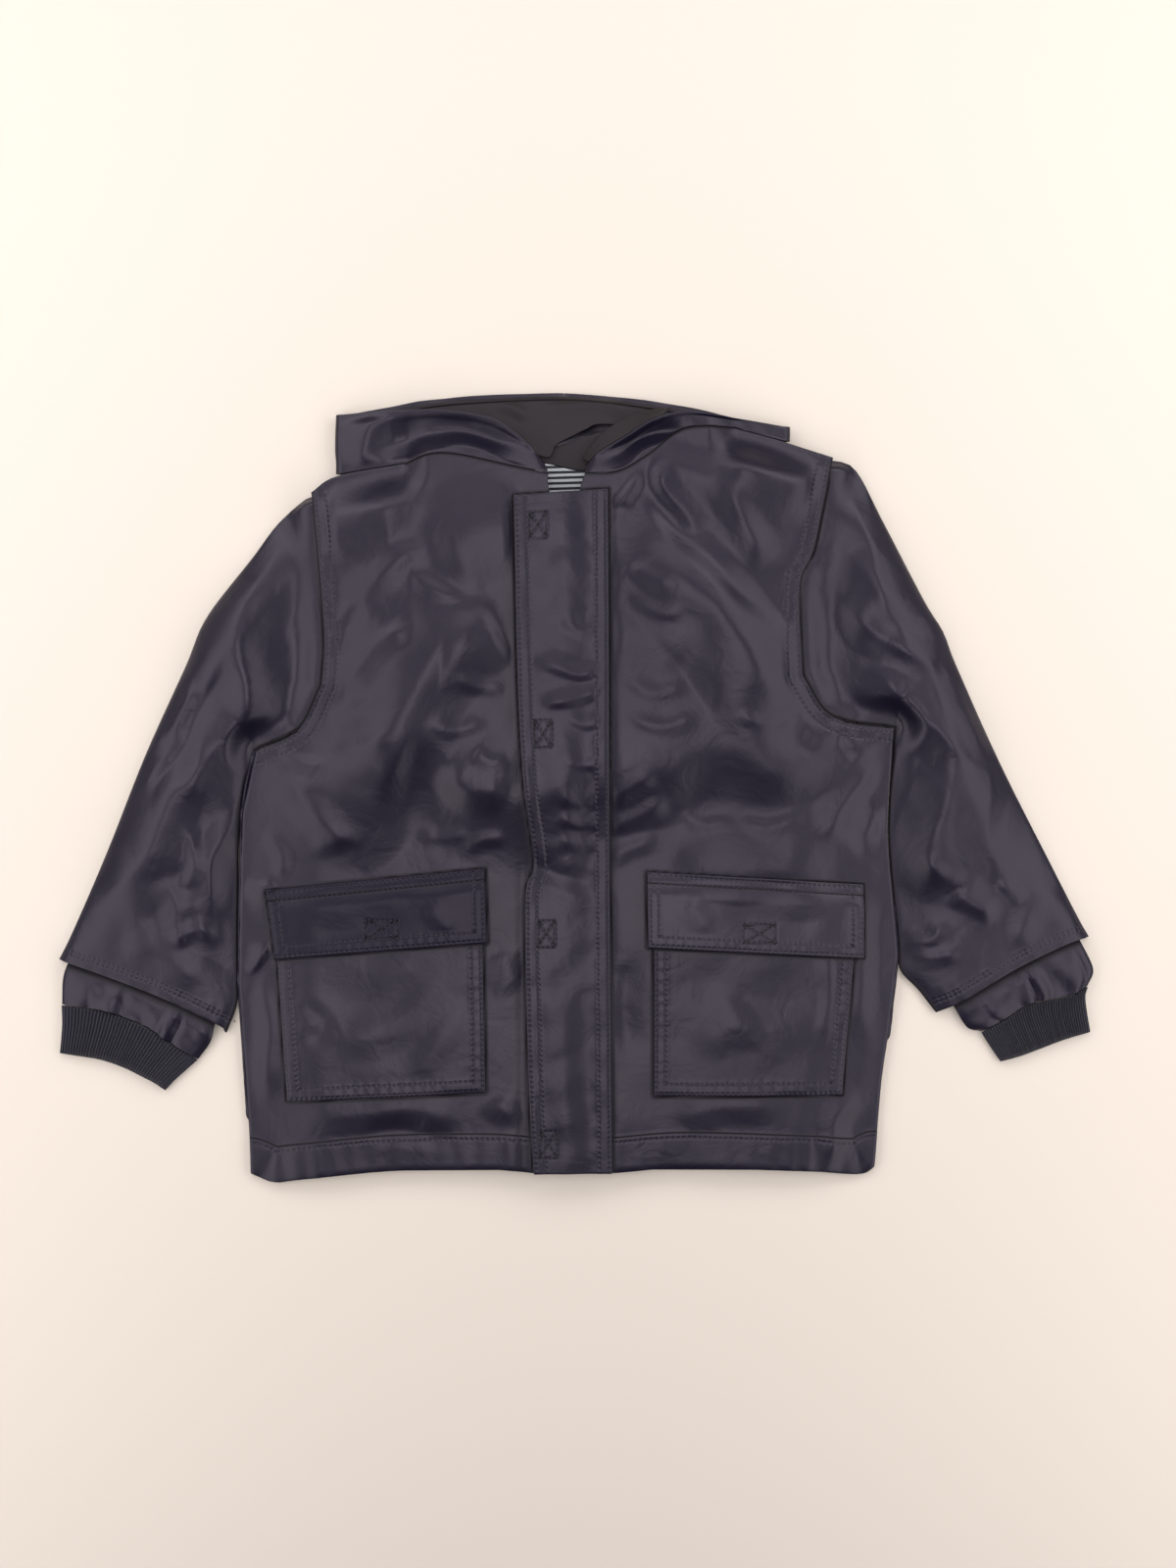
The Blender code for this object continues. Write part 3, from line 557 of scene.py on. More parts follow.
# y, height of the outer face at the side seam or armhole, and away from it.
FRONT_HEIGHT = np.array([
    (-235, 1.6, 8.6),
    (-200, 2.4, 9.2),
    (-120, 3.6, 9.2),
    (-60, 3.8, 9.2),
    (0, 3.8, 9.6),
    (22, 4.6, 10.0),
    (40, 6.5, 10.2),
    (60, 12.4, 10.6),
    (130, 13.6, 11.4),
    (170, 13.8, 11.6),
    (212, 12.4, 12.0),
])
# The chest is puffed up, and drops to the skirt in a buckle, steeply at first.
CHEST_RISE = 10.5
CHEST_EDGE_ROUND = 7.0
CHEST_FALL = 1.3  # the power of the drop
CHEST_SMOOTHING = (-9.0, -6.0, -3.0, 0.0, 3.0, 6.0, 9.0)
# x, y of the buckle's upper edge, how far it runs down.
CHEST_BAND = np.array([
    (-200, 6, 50), (-180, 4, 52), (-160, 14, 56), (-140, 1, 50), (-125, -4, 48), (-114, -4, 48),
    (-105, 12, 54), (-97, 28, 60), (-89, 42, 64), (-80, 26, 60), (-70, 8, 52), (-58, -1, 46),
    (-45, -6, 44), (-32, -10, 44), (-10, -2, 40), (20, 6, 36), (32, 7, 36), (45, 9, 36),
    (57, 10, 35), (70, 19, 38), (84, 24, 40), (95, 20, 36), (105, 12, 30), (118, 9, 28),
    (135, 16, 27), (150, 24, 28), (165, 27, 26), (178, 27, 24), (192, 27, 24),
])
SIDE_ROUND = 2.0
SIDE_SWELL = 50.0
SIDE_STEP = 0.14
SHOULDER_ROUND = 26.0
NECK_BLEND = 18.0
# Folds: the points of the crest, half width on its left and right going along it, height, and how
# round the crest is.
FRONT_FOLDS = {
    "right": [
        ([(-154, 134), (-142, 148), (-124, 158), (-106, 160), (-92, 152)], 34, 20, 3.8, 4),
        ([(-118, 84), (-123, 104), (-118, 120), (-106, 131), (-94, 136), (-82, 141)], 16, 12, 1.9, 1.0),
        ([(-150, 40), (-132, 44), (-112, 56)], 7, 5, 1.2, 0.3),
        ([(-146, 24), (-126, 22), (-104, 30)], 6, 8, 1.3, 0.3),
        ([(-176, 26), (-160, 16), (-142, 14)], 6, 7, 1.3, 0.4),
        ([(-96, 128), (-84, 116), (-66, 108)], 7, 6, 1.2, 0.4),
        ([(-70, 66), (-56, 58), (-40, 60)], 6, 7, 1.2, 0.4),
        ([(-88, 40), (-70, 34), (-50, 38)], 7, 6, 1.3, 0.4),
        ([(-60, 22), (-48, 14), (-36, 16)], 5, 7, 1.1, 0.3),
        ([(-182, -24), (-172, -38), (-176, -54)], 6, 6, 1.3, 0.4),
        ([(-126, 108), (-140, 96), (-146, 80)], 7, 6, 1.1, 0.4),
        ([(-66, -40), (-52, -30), (-38, -28)], 6, 6, 1.2, 0.3),
        ([(-94, -22), (-78, -30), (-60, -28)], 6, 7, 1.2, 0.3),
        ([(-86, 132), (-64, 144), (-44, 150), (-26, 153)], 30, 24, 3.2, 7),
        ([(-138, 54), (-126, 70), (-116, 84), (-104, 94), (-94, 97)], 20, 12, 2.8, 0.8),
        ([(-116, -8), (-108, 14), (-102, 38), (-88, 66), (-68, 90), (-44, 110)], 34, 30, 7.0, 4),
        ([(-78, 16), (-66, 0), (-50, 0), (-36, -6)], 30, 14, 3.0, 2),
        ([(-76, 84), (-60, 82), (-42, 92)], 16, 26, 2.6, 6),
        ([(-172, 6), (-158, -10), (-144, -24), (-128, -32)], 14, 12, 2.6, 1.5),
        ([(-160, -37), (-146, -35), (-134, -30), (-122, -34)], 9, 7, 1.5, 0.8),
        ([(-199, -58), (-188, -61), (-176, -58)], 5, 12, 2.4, 0.6),
        ([(-200, -111), (-190, -105), (-181, -90)], 11, 4, 2.4, 0.4),
        ([(-186, -100), (-182, -140), (-186, -190)], 9, 12, 2.0, 2),
        ([(-160, -189), (-130, -193), (-104, -189), (-60, -194)], 12, 12, 2.0, 1.5),
        ([(-130, -205), (-100, -202), (-70, -206)], 7, 9, -1.2, 1.5),
        ([(-50, -182), (-42, -190), (-32, -186)], 10, 10, 1.6, 2),
        ([(-48, -96), (-40, -110), (-32, -120)], 12, 12, 1.4, 3),
    ],
    "left": [
        ([(30, 152), (58, 126), (84, 100), (104, 75), (118, 50), (134, 26)], 26, 34, 8.2, 5),
        ([(40, 181), (52, 161), (70, 141), (86, 125), (102, 110), (128, 100)], 26, 8, -2.6, 1.0),
        ([(78, 192), (104, 187), (128, 181), (148, 172)], 22, 26, 5.4, 7),
        ([(82, 182), (97, 160), (106, 146), (118, 132)], 9, 14, 2.4, 1.2),
        ([(40, 187), (64, 183), (92, 178)], 16, 18, 2.4, 4),
        ([(30, 132), (44, 122), (60, 118)], 6, 7, 1.1, 0.4),
        ([(28, 112), (46, 104), (66, 102)], 6, 6, 1.2, 0.3),
        ([(28, 66), (46, 56), (68, 58)], 7, 6, 1.2, 0.4),
        ([(30, 44), (50, 36), (74, 40)], 6, 7, 1.3, 0.3),
        ([(92, 46), (108, 38), (128, 40)], 6, 6, 1.1, 0.4),
        ([(132, 74), (146, 64), (162, 62)], 6, 7, 1.3, 0.3),
        ([(116, 92), (134, 96), (150, 90)], 7, 6, 1.1, 0.4),
        ([(94, -18), (116, -22), (140, -16)], 6, 7, 1.2, 0.4),
        ([(60, -14), (78, -22), (94, -20)], 6, 6, 1.1, 0.3),
        ([(168, 70), (158, 58), (160, 44)], 5, 6, 1.2, 0.3),
        ([(14, 90), (40, 88), (70, 74)], 16, 20, 2.0, 6),
        ([(38, 186), (30, 174), (24, 160)], 7, 5, 2.0, 0.6),
        ([(44, 188), (56, 172), (66, 160), (72, 146)], 9, 6, 2.4, 0.8),
        ([(50, -44), (96, -47), (156, -46)], 34, 18, 3.6, 5),
        ([(150, -36), (152, -24), (157, -10), (168, 2), (182, 16)], 15, 8, 2.6, 0.8),
        ([(160, -34), (172, -26), (184, -10)], 12, 12, -2.2, 3),
        ([(126, 48), (142, 31), (158, 37), (164, 26), (180, 23)], 16, 9, 2.6, 0.8),
        ([(16, -9), (32, 0), (50, 6)], 8, 9, 1.5, 1),
        ([(16, -27), (34, -18), (56, -10)], 9, 9, 1.8, 1),
        ([(16, -45), (30, -36), (48, -28)], 9, 8, 1.6, 1),
        ([(184, -4), (183, -24), (187, -46)], 4, 4, -1.2, 1),
        ([(172, -58), (168, -110), (174, -152)], 10, 13, 2.0, 2),
        ([(168, -178), (152, -196), (156, -226)], 9, 10, 2.3, 1),
        ([(130, -189), (90, -187), (50, -193)], 12, 12, 2.0, 1.5),
        ([(30, -98), (28, -130), (32, -162)], 10, 10, -1.4, 3),
    ],
}
FOLD_WANDER = (1.5, 55.0)  # height and wavelength of the waves that push the folds about
FOLD_POWER = 1.2
FOLD_TAPER = 0.3  # the share of a fold's length in which each end fades out
FRONT_WAVES = [(0.7, 110.0, 21), (0.16, 34.0, 22)]
ARMHOLE_GATHERS = (0.5, 8.5, 1.0)  # height, pitch, seed: so for every set of gathers
ARMHOLE_BAND = 0.3  # how much higher the seam's turned-in layers stand
HEM_GATHERS = (0.6, 13.0, 4.0)
HEM_BAND = 0.5
ARMHOLE_ROWS = (2.6, 8.2)  # the two rows of topstitching, in from the armhole's edge
HEM_DEPTH = 21.0
HEM_ROW = HEM_DEPTH - 3.0
SHOULDER_CROWDING = 1.7
FLAP_MIDDLE = -7.0
FLAP_SEAM_X, FLAP_FREE_X = 20.5, -31.0
FLAP_CREVICE = 0.6
THREAD_THICK = 0.17
THREAD_SIDES = 5
STITCH_LENGTH = 0.7 * STITCH_PITCH
STEEPEST_STITCH = 0.35  # the least upward share of the normal that a stitch lies by


def folds_at(table, x, y):
    """Uneven ridges and troughs, from crisp creases to soft waves.

    height * (1 - d / width)^1.2 within its width, where d = sqrt(distance^2 + round^2) - round,
    tapered to its ends. The places are first pushed about by slow waves, so that no fold runs
    quite straight.
    """
    wx, wy = x + waves(x, y, *FOLD_WANDER, 11), y + waves(x, y, *FOLD_WANDER, 12)
    total = np.zeros_like(x)
    for crest, left, right, height, round_off in table:
        line = along(crest, even(14))
        away, place = from_line(line, wx, wy)
        t = place / run_length(line)[-1]
        taper = smooth(t / FOLD_TAPER) * smooth((1 - t) / FOLD_TAPER)
        width = np.where(away > 0, left, right)
        beyond = np.hypot(away, round_off) - round_off
        total += height * taper * np.clip(1 - beyond / width, 0, 1) ** FOLD_POWER
    return total


def pucker(place, height, pitch, seed):
    """Uneven gathers along a seam: a cosine whose pitch and height wander."""
    wander = 0.9 * np.sin(place / (2.3 * pitch) + seed)
    wander += 0.6 * np.sin(place / (0.9 * pitch) + 2.1 * seed)
    uneven = 0.65 + 0.35 * np.sin(place / (3.1 * pitch) + 3.7 * seed)
    return height * uneven * (0.5 + 0.5 * np.cos(2 * math.pi * place / pitch + wander))


def chest_height(x, y):
    """How much higher the puffed chest stands than the skirt."""
    edge, reach = (
        sum(column(CHEST_BAND, x + step, number) for step in CHEST_SMOOTHING) / len(CHEST_SMOOTHING)
        for number in (1, 2)
    )
    above = y - edge
    below = (np.hypot(above, CHEST_EDGE_ROUND) - above) / 2
    return CHEST_RISE * np.clip(1.0 - below / reach, 0.0, 1.0) ** CHEST_FALL


def front_rise(side, x, y, from_side):
    """0 on the front's edges and 1 away from them: up its side, under its shoulder, to its neck."""
    shoulder = np.array(SHOULDER_TO_NECK[side])
    order = np.argsort(np.abs(shoulder[:, 0]))
    top = np.interp(np.abs(x), np.abs(shoulder[order, 0]), shoulder[order, 1])
    in_neck = smooth((abs(shoulder[-1, 0]) - np.abs(x)) / NECK_BLEND + 0.2)
    from_shoulder = smooth((top - y) / SHOULDER_ROUND)
    at_shoulder = from_shoulder + (1 - from_shoulder) * in_neck
    turned = np.sqrt(1 - np.clip(1 - from_side / SIDE_ROUND, 0.0, 1.0) ** 2)
    swell = SIDE_STEP * turned + (1 - SIDE_STEP) * smooth(from_side / SIDE_SWELL)
    return swell * at_shoulder, at_shoulder


def front_top(side, x, y):
    """The height of a front's outer face: its rise from its edges, its folds and its seams."""
    edge = HEM_TO_ARMPIT[side] + ARMPIT_TO_UNDERARM[side][1:] + UNDERARM_TO_SHOULDER[side][1:]
    from_side = near(edge, x, y)[0]
    rise, at_shoulder = front_rise(side, x, y, from_side)
    low, high = column(FRONT_HEIGHT, y, 1), column(FRONT_HEIGHT, y, 2) + chest_height(x, y)
    folds = folds_at(FRONT_FOLDS[side], x, y)
    folds += sum(waves(x, y, *pattern) for pattern in FRONT_WAVES)
    beside_flap = past(np.abs(x - FLAP_MIDDLE), 20.0, 16.0)
    folds *= beside_flap * smooth(from_side / 14.0) * at_shoulder
    beside_edge = np.abs(x - (FLAP_SEAM_X if side == "left" else FLAP_FREE_X))
    tucked = FLAP_CREVICE * np.exp(-((beside_edge / 3.0) ** 2)) * within(y, 176.0, 6.0)
    return low + (high - low) * rise + folds - tucked


def armhole_line(side):
    """The armhole, from the armpit to the shoulder tip."""
    return joined(
        along(ARMPIT_TO_UNDERARM[side], even(24)), along(UNDERARM_TO_SHOULDER[side], even(60))
    )


def moved(line, sideways):
    """The line, moved to its left by this much: point + sideways * the left normal."""
    run = np.gradient(line, axis=0)
    run /= np.linalg.norm(run, axis=1)[:, None]
    return line + sideways * np.column_stack([-run[:, 1], run[:, 0]])


def between(first, second, steps):
    """A grid of points whose rows go evenly from one line of points to another."""
    down = even(steps)[:, None, None]
    return first[None] * (1 - down) + second[None] * down


def stitches(name, grid, lines):
    """Rows of stitches lying on a grid surface under these lines of plan points.

    Each is a five-sided spindle: two rings of 5 points between two tips that dip into the cloth.
    It takes its height and tilt from the surface's nearest point: z = z0 - (x - x0) n_x / n_z.
    """
    flat = grid.reshape(-1, 3)
    normal = np.cross(np.gradient(grid, axis=1), np.gradient(grid, axis=0)).reshape(-1, 3)
    normal *= np.sign(normal[:, 2:]) / np.linalg.norm(normal, axis=1)[:, None]
    ends = []
    for line in lines:
        line = np.asarray(line, float)
        length = run_length(line)
        starts = np.arange(0.5, length[-1] - STITCH_PITCH, STITCH_PITCH)
        ends.append([[np.interp(starts + late, length, line[:, axis]) for axis in (0, 1)]
                     for late in (0.0, STITCH_LENGTH)])
    ends = np.concatenate([np.array(run) for run in ends], axis=2).transpose(2, 0, 1)
    middle = ends.mean(axis=1)
    nearest = ((flat[None, :, :2] - middle[:, None]) ** 2).sum(axis=2).argmin(axis=1)
    up = normal[nearest]
    up[:, 2] = np.clip(up[:, 2], STEEPEST_STITCH, None)
    tilt = ((ends - flat[nearest, None, :2]) * up[:, None, :2]).sum(2) / up[:, 2:]
    z = flat[nearest, 2][:, None] - tilt
    start, stop = np.dstack([ends, z]).transpose(1, 0, 2)
    run = stop - start
    side_way = np.cross(up, run)
    side_way /= np.linalg.norm(side_way, axis=1)[:, None]
    turn = 2 * math.pi * np.arange(THREAD_SIDES)[None, :, None] / THREAD_SIDES
    ring = THREAD_THICK * (np.cos(turn) * side_way[:, None] + np.sin(turn) * up[:, None])
    lift = 0.15 * up
    points = np.concatenate([
        (start - 0.8 * lift)[:, None],
        (start + 0.2 * run + lift)[:, None] + ring,
        (start + 0.8 * run + lift)[:, None] + ring,
        (stop - 0.8 * lift)[:, None],
    ], axis=1)
    last = 2 * THREAD_SIDES + 1
    faces = []
    for k in range(THREAD_SIDES):
        first, after = 1 + k, 1 + (k + 1) % THREAD_SIDES
        beyond, beyond_after = first + THREAD_SIDES, after + THREAD_SIDES
        faces += [(0, after, first), (first, after, beyond_after, beyond), (last, beyond, beyond_after)]
    faces = [
        tuple((last + 1) * number + corner for corner in face)
        for number in range(len(points)) for face in faces
    ]
    made = mesh_object(name, points, faces, thread)
    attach(made, "root")


THREAD_COLOUR = (0.030, 0.026, 0.038)
thread = finish("thread", THREAD_COLOUR, 0.6)[0]
# Painted shade along the armhole seam, along the hem's turned edge, and under the edges of the pieces that
# lie on the fronts.
stitched_front = coated_cloth(
    "front_cloth",
    [("armhole", row) for row in ARMHOLE_ROWS] + [("hem", HEM_ROW)],
    [("armhole", 0.0, 0.9), ("hem", HEM_DEPTH, 0.5), ("outline", 0.0, 1.1)],
)
for side in SIDES:
    edge = body_edge(side, 120)
    top_edge = joined(
        along(SHOULDER_TO_NECK[side], even(44) ** SHOULDER_CROWDING),
        along(NECK_TO_CENTRE[side], even(84)),
    )
    centre = along(CENTRE_EDGE[side], fractions_of(edge))
    hem = along(HEM_LINE[side], fractions_of(top_edge) ** SHOULDER_CROWDING)
    plan = patch(edge, centre, hem, top_edge)
    x, y = plan[..., 0], plan[..., 1]
    z = front_top(side, x, y)
    armhole = near(armhole_line(side), x, y)
    hem_line = near(along(HEM_LINE[side], even(60)), x, y)
    z += ARMHOLE_BAND * within(armhole[0], ARMHOLE_ROWS[1] + 2.0, 2.5)
    z += pucker(armhole[1], *ARMHOLE_GATHERS) * within(armhole[0], 15.0, 12.0)
    z += HEM_BAND * within(hem_line[0], HEM_DEPTH, 1.5) * smooth(hem_line[0] / 2.0)
    z += pucker(hem_line[1], *HEM_GATHERS) * within(hem_line[0], 26.0, 14.0)
    grid = at_height(plan, z)
    front = surface(
        f"front_panel_{side}", grid, stitched_front,
        seams=[("armhole", *armhole), ("hem", *hem_line), no_outline(x)],
    )
    thicken(front, WALL)
    wear(front, "coated_cloth", f"front_{side}")
    lines = [moved(armhole_line(side), SIGN[side] * row) for row in ARMHOLE_ROWS]
    lines.append(moved(along(HEM_LINE[side], even(60)), -SIGN[side] * HEM_ROW)[3:])
    stitches(f"front_stitches_{side}", grid, lines)


# ================================================================ storm flap
# A doubled strip of the same cloth that covers the closure. It is sewn down along the left front
# and free on the other side, with boxed stitching where the touch tape sits behind it.
STORM_FREE_EDGE = [
    (-24.5, -227), (-27.5, -172), (-29.5, -68), (-24.5, -45), (-30, 0), (-33.5, 60), (-36, 170)
]
STORM_SEWN_EDGE = [(21.5, -227), (20, -33), (19.5, 90), (19, 174)]
FLAP_WALL = 2.2
FLAP_GAP = 0.9  # between the flap and the front
FREE_LIFT = 2.0
FREE_CURL = 0.7
SEWN_PRESS = 0.9  # how far the stitching presses the sewn edge down
SEWN_BAND, FREE_BAND = 0.45, 0.25  # how much higher the turned-in layers stand along each edge
FLAP_WAVES = (0.25, 30.0, 31)
FLAP_GATHERS = (0.9, 14.0, 2.0)
FLAP_ROWS = (1.6, 7.4)
FLAP_TOP_ROWS, FLAP_HEM_ROW = (5.5, 9.8), 7.0
FLAP_BOX_SIZE = (10.4, 15.7)
FLAP_BOXES = [(-21.7, 152.8), (-18.9, 31.0), (-17.1, -86.1), (-16.0, -209.7)]
FLAP_FOLDS = [
    ([(-40, -42), (-10, -50), (16, -60)], 6, 7, -1.4, 1.6),
    ([(-34, -30), (-8, -36), (14, -42)], 6, 6, 0.7, 1.4),
    ([(16, 96), (4, 92), (-12, 98)], 5, 7, 1.0, 1.5),
    ([(16, 72), (2, 66), (-22, 74)], 4, 9, 1.7, 1.0),
    ([(16, 56), (2, 53), (-20, 46)], 4, 8, 1.8, 0.8),
    ([(16, 40), (6, 38), (-8, 42)], 4, 6, 1.0, 0.8),
    ([(16, 14), (6, 12), (-8, 16)], 4, 6, 0.9, 0.8),
    ([(16, -4), (4, -8), (-14, -4)], 5, 7, 1.3, 1.0),
    ([(16, -18), (4, -22), (-12, -16)], 5, 6, 1.4, 0.8),
    ([(16, -32), (4, -36), (-12, -28)], 5, 6, 1.3, 0.8),
    ([(14, 118), (-6, 128), (-20, 132)], 9, 9, 0.5, 2.2),
    ([(14, 100), (-4, 92), (-20, 92)], 8, 8, -0.5, 1.9),
    ([(12, -100), (-4, -112), (-16, -130)], 9, 9, -0.5, 2.2),
]


def box_lines(centre, size):
    """A stitched box with a cross in it: its outline, then its two diagonals."""
    w, h = size[0] / 2, size[1] / 2
    corners = np.array(centre) + np.array([(-w, -h), (w, -h), (w, h), (-w, h), (-w, -h)])
    return [through(run, 10) for run in (corners, corners[[0, 2]], corners[[1, 3]])]


def nearest(lines, x, y):
    """Distance to the nearest of the lines, and how far along it."""
    away, place = np.full(x.shape, FAR), np.zeros(x.shape)
    for line in lines:
        close = (np.abs(x - line[:, 0].mean()) < 30) & (np.abs(y - line[:, 1].mean()) < 30)
        new = near(line, x[close], y[close])
        place[close] = np.where(new[0] < away[close], new[1], place[close])
        away[close] = np.minimum(away[close], new[0])
    return away, place


# Painted shade along the boxed stitching.
flap_cloth = coated_cloth(
    "flap_cloth",
    [(edge, row) for edge in ("free", "sewn") for row in FLAP_ROWS] + [("box", 0.0)],
    [("box", 0.0, 0.5)],
)
free_edge, sewn_edge = along(STORM_FREE_EDGE, even(300)), along(STORM_SEWN_EDGE, even(300))
plan = patch(
    free_edge,
    sewn_edge,
    along([free_edge[0], sewn_edge[0]], even(44)),
    along([free_edge[-1], sewn_edge[-1]], even(44)),
)
x, y = plan[..., 0], plan[..., 1]
free, sewn = near(free_edge, x, y), near(sewn_edge, x, y)
z = column(FRONT_HEIGHT, y, 2) + FLAP_WALL + FLAP_GAP
z += chest_height(x, y)
z += FREE_LIFT * within(x, 10.0, 18.0) + FREE_CURL * within(free[0], 9.0, 9.0)
z += folds_at(FLAP_FOLDS, x, y) * smooth(free[0] / 6.0 + 0.4) * past(sewn[0], 5.0, 5.0)
z += waves(x, y, *FLAP_WAVES)
strength = 0.35 + 0.65 * np.exp(-(((y + 45) / 55) ** 2))  # the gathers are strongest at the buckle
beside_seam = within(sewn[0], 15.0, 7.0) * past(sewn[0], 5.5, 3.0)
z += strength * pucker(sewn[1], *FLAP_GATHERS) * beside_seam
z += SEWN_BAND * within(sewn[0], 9.0, 1.5) + FREE_BAND * within(free[0], 8.5, 1.5)
z -= SEWN_PRESS * within(sewn[0], 1.2, 1.2)
boxes = [line for centre in FLAP_BOXES for line in box_lines(centre, FLAP_BOX_SIZE)]
grid = at_height(plan, z)
storm_flap = surface(
    "storm_flap_cloth", grid, flap_cloth,
    seams=[("free", *free), ("sewn", *sewn), ("box", *nearest(boxes, x, y))],
)
# Painted shade on the fronts under the flap's top and side edges, and along the neck.
flap_top = np.array([free_edge[-1] + (-0.5, 0.6), sewn_edge[-1] + (0.5, 0.6)])
for side in SIDES:
    lies_on(f"front_panel_{side}", flap_top)
    lies_on(f"front_panel_{side}", along(NECK_TO_CENTRE[side], even(40)))
lies_on("front_panel_left", moved(sewn_edge, -0.5)[::6])
lies_on("front_panel_right", moved(free_edge, 0.7)[::6])
thicken(storm_flap, FLAP_WALL)
wear(storm_flap, "coated_cloth", "storm_flap")
lines = [moved(free_edge, -row)[3:-3] for row in FLAP_ROWS]
lines += [moved(sewn_edge, row)[3:-3] for row in FLAP_ROWS]
top_run, hem_run = (
    through(np.array([free_edge[end], sewn_edge[end]]), 20)[1:-1] for end in (-1, 0)
)
lines += [top_run - (0, row) for row in FLAP_TOP_ROWS] + [hem_run + (0, FLAP_HEM_ROW)]
stitches("flap_stitches", grid, lines + boxes)

# ================================================================ touch tape
# Small woven pads behind the storm flap's boxed stitching and under each pocket flap. Their
# plain solids stay, in the tape's own matt weave.
TAPE_COLOUR, TAPE_ROUGH = (0.012, 0.011, 0.014), 0.85
TAPE_PADS = [f"closure_tape_{number}" for number in (1, 2, 3, 4)]
TAPE_PADS += ["pocket_tape_right", "pocket_tape_left"]
tape_cloth, tree, shader = finish("tape_cloth", TAPE_COLOUR, TAPE_ROUGH)
place = put(tree, "TexCoord").outputs["Object"]
loops = put(tree, "TexVoronoi", {"Vector": place, "Scale": 1300.0})
emboss(tree, shader, loops.outputs["Distance"], 0.0003)
for name in TAPE_PADS:
    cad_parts[name].data.materials.clear()
    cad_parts[name].data.materials.append(tape_cloth)

# ================================================================ pockets
# A patch pocket on each front, its edges turned in and sewn down with two rows of stitching.
# Corners in order: hem outer, hem inner, top outer, top inner.
POCKET = {
    "right": [(-170, -185), (-53, -179.5), (-178, -72), (-55, -66)],
    "left": [(157, -181), (46, -181.5), (166, -75), (46, -70)],
}
POCKET_WALL = 1.2
POCKET_GAP = 0.4
POCKET_EDGE, POCKET_BAND = 0.45, 0.3  # height of its rounded edge, and of its turned-in layers
POCKET_GATHERS = (0.22, 6.5, 5.0)
POCKET_ROWS = (1.5, 7.0)
POCKET_FOLDS = {
    "right": [
        ([(-160, -110), (-120, -130), (-80, -118)], 16, 14, -1.1, 3.6),
        ([(-150, -150), (-110, -140), (-70, -110)], 14, 14, 1.1, 3.4),
        ([(-164, -128), (-148, -138), (-156, -158)], 8, 8, -1.2, 1.9),
        ([(-100, -175), (-80, -150), (-62, -120)], 10, 10, 0.8, 2.4),
    ],
    "left": [
        ([(60, -100), (100, -125), (150, -118)], 16, 14, -1.1, 3.6),
        ([(60, -150), (100, -140), (140, -150)], 14, 14, 1.1, 3.4),
        ([(148, -90), (150, -130), (146, -160)], 5, 8, 1.3, 1.6),
        ([(80, -110), (96, -140), (120, -165)], 9, 9, 0.8, 2.2),
    ],
}


def quad(corners, rows, columns):
    """A grid of plan points between four corners."""
    low_outer, low_inner, top_outer, top_inner = np.array(corners, float)
    return patch(
        along([low_outer, top_outer], rows),
        along([low_inner, top_inner], rows),
        along([low_outer, low_inner], columns),
        along([top_outer, top_inner], columns),
    )


def inset(corners, distance):
    """The run down one side, along the bottom and up the other, this far inside the edges."""
    low_outer, low_inner, top_outer, top_inner = np.array(corners, float)
    side_in = (low_inner - low_outer) / np.linalg.norm(low_inner - low_outer) * distance
    up = (top_outer - low_outer) / np.linalg.norm(top_outer - low_outer) * distance
    turns = [top_outer + side_in, low_outer + side_in + up, low_inner - side_in + up, top_inner - side_in]
    return through(np.array(turns), 24)


# Painted shade under the pocket flap's edges.
pocket_cloth = coated_cloth(
    "pocket_cloth", [("edge", row) for row in POCKET_ROWS], [("outline", 0.0, 1.0)]
)
for side in SIDES:
    plan = quad(POCKET[side], even(80), even(86))
    x, y = plan[..., 0], plan[..., 1]
    edge = near(inset(POCKET[side], 0.0), x, y)
    z = front_top(side, x, y) + POCKET_WALL + POCKET_GAP
    z += POCKET_EDGE * smooth(edge[0] / 1.2)
    z += POCKET_BAND * within(edge[0], POCKET_ROWS[1] + 1.5, 1.5)
    z += folds_at(POCKET_FOLDS[side], x, y) * past(edge[0], 6.0, 10.0)
    z += pucker(edge[1], *POCKET_GATHERS) * within(edge[0], 11.0, 4.0) * smooth(edge[0] / 3.0)
    grid = at_height(plan, z)
    pocket = surface(
        f"pocket_cloth_{side}", grid, pocket_cloth, seams=[("edge", *edge), no_outline(x)]
    )
    # Painted shade on the front under the pocket's edges.
    lies_on(f"front_panel_{side}", inset(POCKET[side], -0.5))
    thicken(pocket, POCKET_WALL)
    wear(pocket, "coated_cloth", f"pocket_{side}")
    stitches(f"pocket_stitches_{side}", grid, [inset(POCKET[side], row) for row in POCKET_ROWS])

# ================================================================ pocket flaps
# Each pocket is covered by a doubled flap, sewn along its top and stitched round its free edges,
# with one boxed stitching over the touch tape.
POCKET_FLAP = {
    "right": [(-177, -101), (-52, -91), (-182.5, -60.5), (-53.5, -47.5)],
    "left": [(169.5, -100.5), (42.5, -94), (169.5, -57), (42, -49.5)],
}
POCKET_FLAP_WALL = 1.8
POCKET_FLAP_GAP = 0.5
POCKET_FLAP_LIFT = 3.4
POCKET_FLAP_BAND, POCKET_FLAP_TOP_BAND = 0.3, 0.35
POCKET_FLAP_GATHERS = (0.15, 6.0, 7.0)
POCKET_FLAP_ROWS = (1.5, 6.8)
POCKET_FLAP_TOP_ROWS = (2.0, 6.5)
POCKET_BOX = {"right": (-113.7, -83.5), "left": (107.9, -85.8)}
POCKET_BOX_SIZE = (19.0, 11.0)
